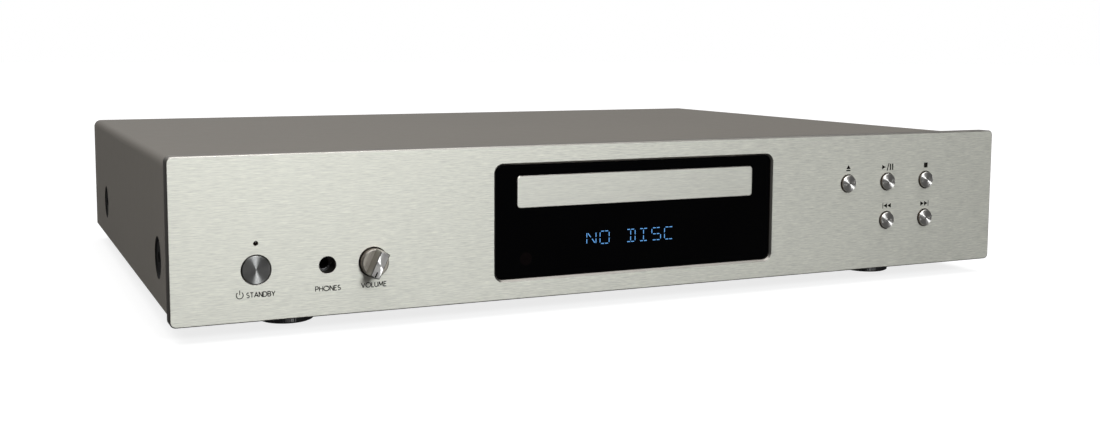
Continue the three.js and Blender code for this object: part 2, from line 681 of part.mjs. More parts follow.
// Drive belt: an oval ring round the two pulleys.
function beltOutline(grow, n = 10) {
  const [a, b] = [MOTOR, PULLEY_GEAR];
  const [ra, rb] = [MOTOR.r + grow, PULLEY_GEAR.r + grow];
  const gap = a.x - b.x;
  const lean = Math.acos((rb - ra) / gap); // both runs touch each pulley at this angle from the line of centres
  const pts = [];
  for (let i = 0; i <= n; i++) {
    const t = -lean + (2 * lean * i) / n;
    pts.push(V(a.x + ra * Math.cos(t), a.y + ra * Math.sin(t)));
  }
  for (let i = 0; i <= 2 * n; i++) {
    const t = lean + ((2 * Math.PI - 2 * lean) * i) / (2 * n);
    pts.push(V(b.x + rb * Math.cos(t), b.y + rb * Math.sin(t)));
  }
  return pts;
}
add(
  "drive_belt",
  cut(
    prism("z", beltOutline(BELT.gap + BELT.t + 0.05), BELT.z0, BELT.z1),
    prism("z", beltOutline(BELT.gap + 0.1), BELT.z0 - 1, BELT.z1 + 1),
  ),
  "rubber",
);

// The cam slides across the loader, and its sloping slot lifts the front pin of the optical deck.
function camSlider() {
  const ends = [V(3, CAM.low - (3 * (CAM.high - CAM.low)) / CAM.travel), V(-CAM.travel - 3, CAM.high + (3 * (CAM.high - CAM.low)) / CAM.travel)];
  return cut(
    block(-30, CAM.y0, 32.9, 9, CAM.y1, 53),
    prismY(strip(ends, 4.2), CAM.y0 - 1, CAM.y1 + 1),
  );
}
add("cam_slider", camSlider(), "white");

// ---------------------------------------------------------------- optical deck, drawn level and then hung from its pivot

const deck = new THREE.Group();
deck.position.set(0, DECK.py, DECK.pz);
deck.rotation.x = (DECK.drop * Math.PI) / 180;
const level = new THREE.Group();
level.position.set(0, -DECK.py, -DECK.pz);
deck.add(level);
object.add(deck);

const plateTop = DECK.plate + DECK.t;
const bosses = (y0, y1) => [-1, 1].map((s) => block(s * RAIL.x - 2.2, y0, plateTop - 0.2, s * RAIL.x + 2.2, y1, 53.1));
function opticalDeck() {
  const body = unite(
    block(-29, 53.4, DECK.plate, 29, 160, plateTop),
    block(26, 114, DECK.plate, 38.4, 134, plateTop),
    block(-8, 53.4, DECK.plate, 8, 55, 51),
    rod("y", [0, 0, CAM.high], 1.5, 45.8, 54, 12),
    ...bosses(80.2, 83),
    ...bosses(150, 153),
    block(-31, 156, 43, -25, 171, plateTop),
    block(25, 156, 43, 31, 171, plateTop),
    rod("x", [0, DECK.py, DECK.pz], 2, -37.5, -30, 16),
    rod("x", [0, DECK.py, DECK.pz], 2, 30, 37.5, 16),
  );
  return cut(
    body,
    block(-18.2, 84, 40, 18.2, 149, 60),
    rod("z", [0, DISC.y, 0], 4, 40, 50, 16),
    rod("z", [SLED_PINION.x, SLED_PINION.y, 0], 2, 40, 50, 12),
    ...[-1, 1].map((s) => rod("y", [s * RAIL.x, 0, RAIL.z], RAIL.r + 0.3, 81.4, 151.6, 12)),
  );
}
add("optical_deck", opticalDeck(), "grey", level);
add("sled_rail_left", rod("y", [-RAIL.x, 0, RAIL.z], RAIL.r, 81.7, 151.3, 12), "steel", level);
add("sled_rail_right", rod("y", [RAIL.x, 0, RAIL.z], RAIL.r, 81.7, 151.3, 12), "steel", level);
add(
  "spindle_motor",
  cut(rod("z", [0, DISC.y, 0], 12, 34, DECK.plate - GAP, 28), rod("z", [0, DISC.y, 0], 1.3, 36, 50, 12)),
  "zinc",
  level,
);
add(
  "turntable",
  turned("z", [0, DISC.y, 0], [[0, 36.4], [1, 36.4], [1, 55], [4, 55], [4, 57.6], [15, 57.6], [15, 60.2], [7.4, 60.2], [7.2, 61.3], [6, 62.4], [0, 62.4]], 24),
  "black",
  level,
);

function pickupSled() {
  const y0 = 84.8;
  const y1 = 112;
  const ear = (x0, x1, a, b) => block(x0, a, 48.9, x1, b, 53.2);
  return cut(
    unite(
      block(-17, y0, 44.5, 17, y1, 52),
      block(-11, y0 + 1, 51, 11, y1 - 8, 55.3),
      ear(-25, -16, y0 + 1, y0 + 7),
      ear(-25, -16, y1 - 8, y1),
      ear(16, 25, y0 + 1, y1),
      prism(
        "z",
        rackOutline(SLED_PINION.m, SLED_PINION.x - (SLED_PINION.m * SLED_PINION.n) / 2, 1, 86, 129.4, SLED_PINION.y, 24.6),
        48.9,
        51.2,
      ),
    ),
    ...[-1, 1].map((s) => rod("y", [s * RAIL.x, 0, RAIL.z], RAIL.r + 0.3, y0 - 1, y1 + 1, 12)),
  );
}
add("pickup_sled", pickupSled(), "zinc", level);
add(
  "lens_holder",
  unite(
    block(-6, LENS_Y - 6, 55.9, 6, LENS_Y + 6, 57.2),
    turned("z", [0, LENS_Y, 0], [[0, 57], [3.4, 57], [3.4, 57.7], [2.4, 58], [0, 58.2]], 20),
  ),
  "lens",
  level,
);
add(
  "sled_motor",
  cut(
    rod("z", [SLED_PINION.x, SLED_PINION.y, 0], 7, 35, DECK.plate - GAP, 20),
    rod("z", [SLED_PINION.x, SLED_PINION.y, 0], 1.2, 37, 50, 12),
  ),
  "zinc",
  level,
);
add(
  "sled_pinion",
  unite(
    rod("z", [SLED_PINION.x, SLED_PINION.y, 0], 0.9, 37.4, 51.6, 12),
    prism("z", gearOutline(SLED_PINION.m, SLED_PINION.n, SLED_PINION.x, SLED_PINION.y, 0, 0.12), 48.7, 51.4),
  ),
  "white",
  level,
);

// ---------------------------------------------------------------- electronics and back sockets

const can = (x, y, r, h) => rod("z", [x, y, 0], r, BOARD_Z + 1.4, BOARD_Z + 1.6 + h, 12);

function powerBoard() {
  const { x0, x1, y0, y1 } = POWER_BOARD;
  const fins = [];
  for (let i = 0; i < 7; i++) fins.push(block(-196, 168 + i * 7, BOARD_Z + 1.2, -180, 170 + i * 7, 50));
  return unite(
    block(x0, y0, BOARD_Z, x1, y1, BOARD_Z + 1.6),
    block(-182, 164, BOARD_Z + 1.2, -178.5, 214, 50),
    ...fins,
    can(-150, 160, 9, 32),
    can(-128, 160, 9, 32),
    can(-150, 184, 9, 32),
    can(-128, 184, 9, 32),
    block(-165, 225, BOARD_Z + 1, -137, 252, 42),
    block(-120, 222, BOARD_Z + 1, -104, 248, 30),
    can(-105, 200, 5, 14),
    can(-105, 186, 5, 14),
    block(-165, 133, BOARD_Z + 1, -135, 142, 27),
  );
}
add("power_board", powerBoard(), "board");

function mainBoard() {
  const { x0, x1, y0, y1 } = MAIN_BOARD;
  return unite(
    block(x0, y0, BOARD_Z, x1, y1, BOARD_Z + 1.6),
    block(118, 214, BOARD_Z + 1, 134, 230, 20.8),
    block(150, 222, BOARD_Z + 1, 160, 229, 20.4),
    block(150, 240, BOARD_Z + 1, 160, 247, 20.4),
    ...[0, 1, 2, 3].flatMap((i) => [can(112 + i * 12, 258, 4, 12), can(112 + i * 12, 272, 4, 12)]),
    block(176, 205, BOARD_Z + 1, 194, 240, 27),
    block(123, 188.5, BOARD_Z + 1, 147, 195, 26),
    block(96, 192, BOARD_Z + 1, 116, 199, 24),
  );
}
add("main_board", mainBoard(), "board");

const CORE = { x: -155, y0: 52, y1: 80, z0: 14, z1: 57 };
add(
  "transformer_core",
  cut(
    unite(
      block(CORE.x - 33, CORE.y0, CORE.z0, CORE.x + 33, CORE.y1, CORE.z1),
      block(CORE.x - 40, CORE.y0 + 2, 11.2, CORE.x + 40, CORE.y1 - 2, CORE.z0 + 0.5),
    ),
    block(CORE.x - 22, 40, CORE.z0 + 6, CORE.x - 11, 90, CORE.z1 - 6),
    block(CORE.x + 11, 40, CORE.z0 + 6, CORE.x + 22, 90, CORE.z1 - 6),
  ),
  "steel",
);
add(
  "transformer_coil",
  cut(
    block(CORE.x - 21.6, CORE.y0 - 11, CORE.z0 + 6.4, CORE.x + 21.6, CORE.y1 + 11, CORE.z1 - 6.4),
    block(CORE.x - 11.4, CORE.y0 - 0.4, 10, CORE.x + 11.4, CORE.y1 + 0.4, 60),
    block(CORE.x - 30, CORE.y0 - 0.4, 10, CORE.x - 21.4, CORE.y1 + 0.4, 60),
    block(CORE.x + 21.4, CORE.y0 - 0.4, 10, CORE.x + 30, CORE.y1 + 0.4, 60),
  ),
  "copper",
);

// Three-pole mains inlet: a flanged box with a deep socket and three blades.
function mainsInlet() {
  const { x, z } = INLET;
  const mouth = [V(x - 12.2, z - 8), V(x + 12.2, z - 8), V(x + 12.2, z + 4.5), V(x + 8.5, z + 8), V(x - 8.5, z + 8), V(x - 12.2, z + 4.5)];
  const blade = (dx, dz) => block(x + dx - 1, 296, z + dz - 2, x + dx + 1, 311, z + dz + 2);
  return unite(
    cut(
      unite(
        block(x - 13.6, 291, z - 9.8, x + 13.6, 312, z + 9.8),
        prismY(roundRect(x - 15.5, z - 11.8, x + 15.5, z + 11.8, 2.5, 3), 311.5, 313.8),
      ),
      prismY(mouth, 297, 315),
    ),
    blade(-7, -2),
    blade(7, -2),
    blade(0, 2.4),
  );
}
add("mains_inlet", mainsInlet(), "black");

add(
  "power_switch",
  cut(
    unite(
      block(SWITCH.x - 6.3, 293, SWITCH.z - 9.5, SWITCH.x + 6.3, 312, SWITCH.z + 9.5),
      prismY(roundRect(SWITCH.x - 7.6, SWITCH.z - 10.8, SWITCH.x + 7.6, SWITCH.z + 10.8, 1.2, 3), 311.5, 313.2),
    ),
    block(SWITCH.x - 4.9, 297, SWITCH.z - 8.6, SWITCH.x + 4.9, 315, SWITCH.z + 8.6),
  ),
  "black",
);
const rocker = new THREE.Group();
rocker.position.set(0, 305, SWITCH.z);
rocker.rotation.x = (9 * Math.PI) / 180;
object.add(rocker);
add(
  "power_rocker",
  prism("x", [V(-4, -3), V(4, -6.6), V(9.3, -6.8), V(8.2, 0), V(9.3, 6.8), V(4, 6.6), V(-4, 3)], SWITCH.x - 4.5, SWITCH.x + 4.5),
  "gloss",
  rocker,
);

// Phono sockets: a moulded block with plated barrels that stand out through the back panel.
function phono(spots, x0, x1) {
  const barrel = ([x, z]) => turned("y", [x, 0, z], [[0, 308], [4.15, 308], [4.15, JACK_END - 0.4], [3.75, JACK_END], [1.6, JACK_END], [1.6, JACK_END - 8], [0, JACK_END - 8]], 24);
  return unite(block(x0, 296, BOARD_Z + 1.9, x1, 309.6, 41), ...spots.map(barrel));
}
add("audio_jacks", phono(RCA, 104, 142), "black");
add("coax_jack", phono([COAX], 152, 168), "black");
add(
  "optical_jack",
  cut(
    unite(
      block(OPTICAL.x - 5, 294, OPTICAL.z - 5, OPTICAL.x + 5, 311.8, OPTICAL.z + 5),
      block(OPTICAL.x - 6.4, 294, BOARD_Z + 1.9, OPTICAL.x + 6.4, 309.6, OPTICAL.z + 7),
    ),
    block(OPTICAL.x - 3.6, 310.8, OPTICAL.z - 3.6, OPTICAL.x + 3.6, 313, OPTICAL.z + 3.6),
  ),
  "black",
);

// Flat cable along the floor from the control board to the main board.
add(
  "front_ribbon",
  prism("x", strip([V(21.4, 20.5), V(24.5, 20), V(26.5, 15.2), V(34, 12.4), V(170, 12.4), V(180, 15), V(184.5, 22), V(188, 23)], 0.7), 126, 144),
  "white",
);

export default object;
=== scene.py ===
"""The looks of a full-width compact disc player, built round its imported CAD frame.

Shapes are drawn in millimetres as (x, depth behind the front panel's face, height above the floor)."""

import math

import bmesh
import bpy
from mathutils import Matrix, Vector


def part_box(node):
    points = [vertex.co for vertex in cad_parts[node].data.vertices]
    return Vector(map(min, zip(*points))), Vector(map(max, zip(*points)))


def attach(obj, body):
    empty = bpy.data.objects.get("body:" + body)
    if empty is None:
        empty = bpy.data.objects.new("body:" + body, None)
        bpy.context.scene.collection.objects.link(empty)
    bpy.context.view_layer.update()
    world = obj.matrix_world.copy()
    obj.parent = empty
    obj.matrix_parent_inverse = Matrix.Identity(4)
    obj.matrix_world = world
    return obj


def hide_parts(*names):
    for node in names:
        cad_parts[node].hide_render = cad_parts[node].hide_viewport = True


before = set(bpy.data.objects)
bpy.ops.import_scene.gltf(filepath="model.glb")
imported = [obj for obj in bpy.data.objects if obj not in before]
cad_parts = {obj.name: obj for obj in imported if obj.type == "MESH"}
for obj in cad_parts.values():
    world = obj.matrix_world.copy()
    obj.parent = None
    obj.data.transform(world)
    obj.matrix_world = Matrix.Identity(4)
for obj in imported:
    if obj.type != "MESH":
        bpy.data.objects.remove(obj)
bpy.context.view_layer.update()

MM = 0.001
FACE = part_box("front_panel")[0].y  # where depth is zero
TAU = 2 * math.pi

# ---------------------------------------------------------------- camera, floor and light

CAMERA = {
    "location": (-0.28582, -0.65849, 0.11966),
    "turn": (84.3803, -0.1421, -24.0085),
    "lens": 40.6266,
    "shift": (0.0273, -0.0445),
}
scene = bpy.context.scene
scene.view_settings.view_transform = "Standard"


def linked(obj):
    scene.collection.objects.link(obj)
    return obj


camera_data = bpy.data.cameras.new("camera")
camera_data.lens = CAMERA["lens"]
camera_data.sensor_width = 36
camera_data.shift_x, camera_data.shift_y = CAMERA["shift"]
camera_data.clip_start, camera_data.clip_end = 0.01, 60
camera = linked(bpy.data.objects.new("camera", camera_data))
camera.location = CAMERA["location"]
camera.rotation_euler = [math.radians(a) for a in CAMERA["turn"]]
scene.camera = camera


def softbox(name, at, aim, width, height, power, colour):
    """A rectangular lamp that faces a point."""
    data = bpy.data.lights.new(name, "AREA")
    data.shape, data.size, data.size_y = "RECTANGLE", width, height
    data.energy, data.color = power, colour
    lamp = linked(bpy.data.objects.new(name, data))
    lamp.location = at
    lamp.rotation_euler = (Vector(aim) - Vector(at)).to_track_quat("-Z", "Y").to_euler()


softbox("key", (0.1, -1.75, 0.85), (0, -0.15, 0.04), 0.6, 0.5, 20.5, (0.96, 0.985, 1))
sun = bpy.data.lights.new("skylight", "SUN")
sun.energy, sun.angle = 2.15, math.radians(80)
linked(bpy.data.objects.new("skylight", sun))

# What surrounds the studio: (direction, tightness, brightness) of pools of light over an even level.
# The first is broad, the next two are small ones that the feet mirror, and the last two light the cover.
WORLD_BASE = 0.045
WORLD_POOLS = (
    ((0.3, -1, 0.3), 3, 0.12),
    ((0.235, -0.949, -0.21), 1300, 7.0),
    ((-0.153, -0.973, -0.17), 1300, 7.0),
    ((0, 0, 1), 4, 0.32),
    ((0, 0.7, 0.7), 6, 0.54),
)


def studio_world():
    """White where the camera looks past the object, and pools of light for everything else."""
    world = bpy.data.worlds.new("studio")
    world.use_nodes = True
    tree = world.node_tree
    link = tree.links.new

    def calc(operation, a, b):
        made = tree.nodes.new("ShaderNodeMath")
        made.operation = operation
        for socket, value in zip(made.inputs, (a, b)):
            if isinstance(value, (int, float)):
                socket.default_value = value
            else:
                link(value, socket)
        return made.outputs[0]

    looking = tree.nodes.new("ShaderNodeTexCoord").outputs["Generated"]
    level = WORLD_BASE
    for direction, tightness, brightness in WORLD_POOLS:
        dot = tree.nodes.new("ShaderNodeVectorMath")
        dot.operation = "DOT_PRODUCT"
        link(looking, dot.inputs[0])
        dot.inputs[1].default_value = Vector(direction).normalized()
        facing = calc("MAXIMUM", dot.outputs["Value"], 0.0)
        pool = calc("MULTIPLY", calc("POWER", facing, float(tightness)), brightness)
        level = calc("ADD", pool, level)
    camera_ray = tree.nodes.new("ShaderNodeLightPath").outputs["Is Camera Ray"]
    link(calc("MAXIMUM", level, camera_ray), tree.nodes["Background"].inputs["Color"])
    return world


scene.world = studio_world()

# ---------------------------------------------------------------- materials


class Shader:
    """A node material: a base colour, roughness and bump that layers of noise vary."""

    def __init__(self, name, colour, rough, metal=0.0, **sockets):
        self.material = bpy.data.materials.new(name)
        self.material.use_nodes = True
        self.tree = self.material.node_tree
        self.bsdf = self.tree.nodes["Principled BSDF"]
        self.bsdf.inputs["Metallic"].default_value = metal
        for key, value in sockets.items():
            self.bsdf.inputs[key.replace("_", " ")].default_value = value
        self.colour, self.rough = colour, rough
        self.tint, self.gloss, self.height = [], [], []

    def node(self, kind, **settings):
        made = self.tree.nodes.new("ShaderNode" + kind)
        for key, value in settings.items():
            setattr(made, key, value)
        return made

    def math(self, operation, a, b=0.0):
        made = self.node("Math", operation=operation)
        for socket, value in zip(made.inputs, (a, b)):
            self.put(socket, value)
        return made.outputs[0]

    def put(self, socket, value):
        if isinstance(value, (int, float, tuple)):
            socket.default_value = value
        else:
            self.tree.links.new(value, socket)

    def place(self):
        return self.node("TexCoord").outputs["Object"]

    def stretched(self, scale, place=None):
        made = self.node("VectorMath", operation="MULTIPLY")
        self.put(made.inputs[0], place or self.place())
        made.inputs[1].default_value = scale
        return made.outputs[0]

    def noise(self, scale, detail=2.0, place=None, kind="Noise"):
        """About -1 to 1, with this many features to the metre along each axis."""
        made = self.node("Tex" + kind)
        self.put(made.inputs["Vector"], self.stretched(scale, place))
        made.inputs["Scale"].default_value = 1.0
        if kind == "Noise":
            made.inputs["Detail"].default_value = detail
            made.inputs["Roughness"].default_value = 0.6
            value = made.outputs[0]
        else:
            value = made.outputs["Distance"]
        return self.math("MULTIPLY", self.math("SUBTRACT", value, 0.5), 2.0)

    def layer(self, value, tint=0.0, gloss=0.0, bump=0.0):
        """Adds a -1 to 1 value: tint as a share of the colour, gloss to the roughness, bump in mm."""
        for share, held in ((tint, self.tint), (gloss, self.gloss), (bump * MM, self.height)):
            if share:
                held.append(self.math("MULTIPLY", value, share))
        return self

    def grain(self, scale, tint=0.0, gloss=0.0, bump=0.0, detail=2.0, kind="Noise"):
        scale = scale if isinstance(scale, tuple) else (scale,) * 3
        return self.layer(self.noise(scale, detail, kind=kind), tint, gloss, bump)

    def total(self, held, start=0.0):
        value = start
        for h in held:
            value = self.math("ADD", h, value)
        return value

    def done(self):
        """Joins the layers up and returns the material."""
        base = self.bsdf.inputs["Base Color"]
        if self.tint:
            made = self.node("VectorMath", operation="SCALE")
            made.inputs[0].default_value = self.colour
            self.put(made.inputs["Scale"], self.total(self.tint, 1.0))
            self.put(base, made.outputs[0])
        else:
            self.put(base, (*self.colour, 1.0))
        self.put(self.bsdf.inputs["Roughness"], self.total(self.gloss, self.rough))
        if self.height:
            bump = self.node("Bump")
            bump.inputs["Distance"].default_value = 1.0
            self.put(bump.inputs["Height"], self.total(self.height))
            self.tree.links.new(bump.outputs["Normal"], self.bsdf.inputs["Normal"])
        return self.material


def brushed(name, colour, rough=0.67, along="x", strength=1.0):
    """Aluminium with straight brushing: short bright and dark dashes along one axis."""
    s = Shader(name, colour, rough, 1.0, Anisotropic=0.3, Anisotropic_Rotation=0.25 if along == "x" else 0.0)
    order = {"x": lambda a, b: (a, b, b), "z": lambda a, b: (b, b, a)}[along]
    s.grain(order(110, 2500), tint=0.2 * strength, gloss=0.04, bump=0.0004, detail=1)
    s.grain(order(300, 4200), tint=0.2 * strength, gloss=0.04, detail=1)
    s.grain(order(20, 400), tint=0.008 * strength, gloss=0.02)
    s.grain((14, 14, 14), tint=0.02, gloss=0.015)
    return s.done()


SPUN_RINGS = 5200.0  # to the metre


def spun(name, colour, rough=0.38):
    """Metal turned on a lathe about the piece's own Y axis."""
    s = Shader(name, colour, rough, 1.0, Anisotropic=0.96, Anisotropic_Rotation=0.25)
    flat = s.stretched((1, 0, 1))
    radius = s.node("VectorMath", operation="LENGTH")
    s.put(radius.inputs[0], flat)
    around = s.node("VectorMath", operation="NORMALIZE")
    s.put(around.inputs[0], flat)
    where = s.node("CombineXYZ")
    s.put(where.inputs[0], s.math("MULTIPLY", radius.outputs["Value"], SPUN_RINGS))
    spread = s.node("VectorMath", operation="MULTIPLY_ADD")
    s.put(spread.inputs[0], around.outputs[0])
    spread.inputs[1].default_value = (0.0, 1.4, 1.4)
    s.put(spread.inputs[2], where.outputs[0])
    s.layer(s.noise((1, 1, 1), place=spread.outputs[0]), tint=0.16, gloss=0.05, bump=0.0009)
    s.grain(260, tint=0.04, gloss=0.03)
    tangent = s.node("Tangent", direction_type="RADIAL", axis="Y")
    s.tree.links.new(tangent.outputs[0], s.bsdf.inputs["Tangent"])
    return s.done()


def paint(name, colour, rough, grain=1500, tint=0.05, bump=0.004, **sockets):
    """Powder coat, moulded plastic or plating: a fine even grain with slow drift under it."""
    s = Shader(name, colour, rough, **sockets)
    s.grain(grain, tint=tint, gloss=0.05, bump=bump, detail=3)
    s.grain(grain / 9, tint=tint * 0.5, gloss=0.03, bump=bump * 0.6)
    s.grain(12, tint=0.03, gloss=0.02)
    return s.done()


def steel(name, colour=(0.55, 0.56, 0.57), rough=0.36, spangle=0.1):
    """Plated sheet steel with faint crystals."""
    s = Shader(name, colour, rough, 1.0)
    s.grain(160, tint=spangle, gloss=0.08, kind="Voronoi")
    s.grain((900, 2600, 900), tint=0.05, gloss=0.05, bump=0.0006)
    s.grain(20, tint=0.04)
    return s.done()


MATERIALS = {
    "panel": brushed("brushed_panel", (0.82, 0.815, 0.745)),
    "drawer": brushed("brushed_drawer", (0.8, 0.795, 0.73), strength=0.6),
    # The walls and rounded edges of the panel, the drawer front and the knob's bar: the aluminium darkened,
    # painted shade that tones down how brightly they catch the light.
    "chamfer": Shader("edge_painted_shade", (0.38, 0.36, 0.33), 0.38, 1.0).grain((60, 900, 60), 0.08, 0.05).done(),
    "milled": brushed("milled_aluminium", (0.7, 0.65, 0.57), 0.36, along="z", strength=1.2),
    "spun": spun("spun_button", (0.88, 0.86, 0.83)),
    # The standby cap: the spun metal darkened, painted shade that deepens its dark sectors.
    "spun_shaded": spun("spun_standby_painted_shade", (0.26, 0.26, 0.255), 0.35),
    "spun_knob": spun("spun_knob", (0.9, 0.885, 0.86), 0.32),
    "cover": paint("cover_paint", (0.16, 0.145, 0.125), 0.5, 1500, 0.07, 0.006),
    "window": Shader("dark_acrylic", (0.0008, 0.0008, 0.0009), 0.05, IOR=1.1).grain(30, 0.3, 0.02).done(),
    "gloss": Shader("gloss_black", (0.005, 0.005, 0.006), 0.07, IOR=1.75).grain(90, 0.4, 0.03, 0.001).done(),
    "plastic": paint("black_plastic", (0.018, 0.018, 0.019), 0.45, 2200, 0.2, 0.006),
    "tray_plastic": paint("tray_plastic", (0.02, 0.02, 0.021), 0.38, 2600, 0.2, 0.005),
    "grey_plastic": paint("grey_plastic", (0.13, 0.135, 0.14), 0.5, 1800, 0.1, 0.004),
    "white_plastic": paint("white_plastic", (0.72, 0.71, 0.66), 0.42, 1500, 0.04, 0.003),
    "rubber": paint("rubber", (0.02, 0.02, 0.02), 0.8, 3000, 0.2, 0.008),
    "zinc": steel("galvanised"),
    "black_steel": paint("black_steel", (0.022, 0.022, 0.023), 0.42, 2400, 0.2, 0.008),
    "steel": steel("bright_steel", (0.6, 0.6, 0.6), 0.24, 0.03),
    "screw": paint("black_screw", (0.005, 0.005, 0.005), 0.42, 1200, 0.2, 0.003, IOR=1.25),
    # The black lining of the side screws' dishes: painted shade that makes each dish read black.
    "cup": paint("black_cup_painted_shade", (0.006, 0.006, 0.006), 0.5, 1200, 0.2, 0.003, IOR=1.3),
    "ink": paint("panel_ink", (0.008, 0.007, 0.006), 0.7, 4000, 0.2, 0.001, IOR=1.15),
    "board": paint("circuit_board", (0.012, 0.075, 0.03), 0.35, 700, 0.3, 0.01),
    "copper_tape": paint("coil_tape", (0.55, 0.38, 0.08), 0.35, 300, 0.15, 0.02),
    # The walls of the turned caps and the knob: the same metal as their faces, darkened as painted shade.
    "shaded_lathed_side": paint("turned_side_painted_shade", (0.22, 0.18, 0.155), 0.34, 1400, 0.1, 0.002, Metallic=1.0),
    "nickel": paint("nickel_plate", (0.62, 0.6, 0.56), 0.2, 500, 0.06, 0.001, Metallic=1.0),
    "red_plastic": paint("red_plastic", (0.42, 0.02, 0.02), 0.4, 1500, 0.06, 0.003),
    "orange_plastic": paint("orange_plastic", (0.7, 0.17, 0.01), 0.4, 1500, 0.06, 0.003),
    "white_ink": paint("white_ink", (0.6, 0.6, 0.59), 0.6, 4000, 0.1, 0.001),
    "sensor": Shader("sensor_window", (0.0022, 0.0015, 0.0016), 0.1, IOR=1.1).grain(400, 0.3, 0.03).done(),
    "glow": Shader(
        "lit_segments", (0.02, 0.05, 0.1), 0.3, Emission_Color=(0.14, 0.42, 0.88, 1.0), Emission_Strength=0.9
    ).grain(900, 0.3, 0.05).done(),
    "lens": Shader("lens", (0.05, 0.06, 0.16), 0.06).grain(900, 0.2, 0.02).done(),
    "led": Shader("led_lens", (0.006, 0.002, 0.002), 0.25, IOR=1.3).grain(1500, 0.2, 0.05).done(),
}

CAD_FINISH = {
    "zinc": "chassis_base sub_front clamp_bridge load_motor spindle_motor sled_motor pickup_sled",
    "steel": "sled_rail_left sled_rail_right volume_shaft volume_nut transformer_core",
    "plastic": "display_bezel loader_frame mains_inlet power_switch audio_jacks coax_jack optical_jack "
    "turntable phones_jack",
    "tray_plastic": "disc_tray",
    "grey_plastic": "display_module volume_pot motor_pulley optical_deck",
    "white_plastic": "clamper pulley_gear tray_gear cam_slider sled_pinion front_ribbon",
    "rubber": "drive_belt",
    "board": "front_board power_board main_board",
    "copper_tape": "transformer_coil",
    "gloss": "power_rocker foot_front_left foot_front_right foot_rear_left foot_rear_right display_window",
    "lens": "lens_holder",
    "led": "standby_led",
    "panel": "front_panel",
    "drawer": "tray_front",
    "cover": "top_cover",
    "black_steel": "rear_panel",
    "screw": "cover_screw_front_left cover_screw_front_right cover_screw_rear_left cover_screw_rear_right",
    "spun": "standby_button eject_button play_pause_button stop_button previous_button next_button "
    "volume_knob",
}
for finish, nodes in CAD_FINISH.items():
    for node in nodes.split():
        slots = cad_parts[node].data.materials
        slots.clear()
        slots.append(MATERIALS[finish])

# ---------------------------------------------------------------- shapes


def span(node):
    """Lowest and highest corner of a CAD node, in mm as (x, depth, height)."""
    return [(v.x / MM, (v.y - FACE) / MM, v.z / MM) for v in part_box(node)]


def middle(node):
    """The middle of a CAD node's box, in the same mm."""
    low, high = span(node)
    return [(a + b) / 2 for a, b in zip(low, high)]


def circle(u, v, r, n=48):
    return [(u + r * math.cos(TAU * i / n), v + r * math.sin(TAU * i / n)) for i in range(n)]


def rounded(u0, v0, u1, v1, r, n=8):
    """A rectangle's outline with round corners, anticlockwise."""
    outline = []
    for k, (cu, cv) in enumerate(((u1 - r, v1 - r), (u0 + r, v1 - r), (u0 + r, v0 + r), (u1 - r, v0 + r))):
        for i in range(n + 1):
            a = (k + i / n) * TAU / 4
            outline.append((cu + r * math.cos(a), cv + r * math.sin(a)))
    return outline


def grown(outline, g):
    """The outline moved outwards by g."""
    if not g:
        return outline
    moved = []
    for i, (u, v) in enumerate(outline):
        a, b = outline[i - 1], outline[(i + 1) % len(outline)]
        n1 = Vector((v - a[1], a[0] - u)).normalized()
        n2 = Vector((b[1] - v, u - b[0])).normalized()
        m = (n1 + n2) / max(0.25, 1 + n1.dot(n2))
        moved.append((u + g * m.x, v + g * m.y))
    return moved


def wall(w0, w1, r0=0.0, r1=0.0, n=3, hole=False):
    """(growth, w) down a wall from w0 to w1 whose edges are rounded by r0 and r1, or cut flat if n is 1."""
    s = 1 if w1 > w0 else -1
    side = 1 if hole else -1
    turn = [i / n * TAU / 4 for i in range(n + 1)]
    first, last = [(0, w0)], [(0, w1)]
    if r0:
        first = [(side * r0 * (1 - math.sin(a)), w0 + s * r0 * (1 - math.cos(a))) for a in turn]
    if r1:
        last = [(side * r1 * (1 - math.cos(a)), w1 - s * r1 * (1 - math.sin(a))) for a in turn]
    return first + last


AXES = {"x": lambda u, v, w: (w, u, v), "y": lambda u, v, w: (u, w, v), "z": lambda u, v, w: (u, v, w)}


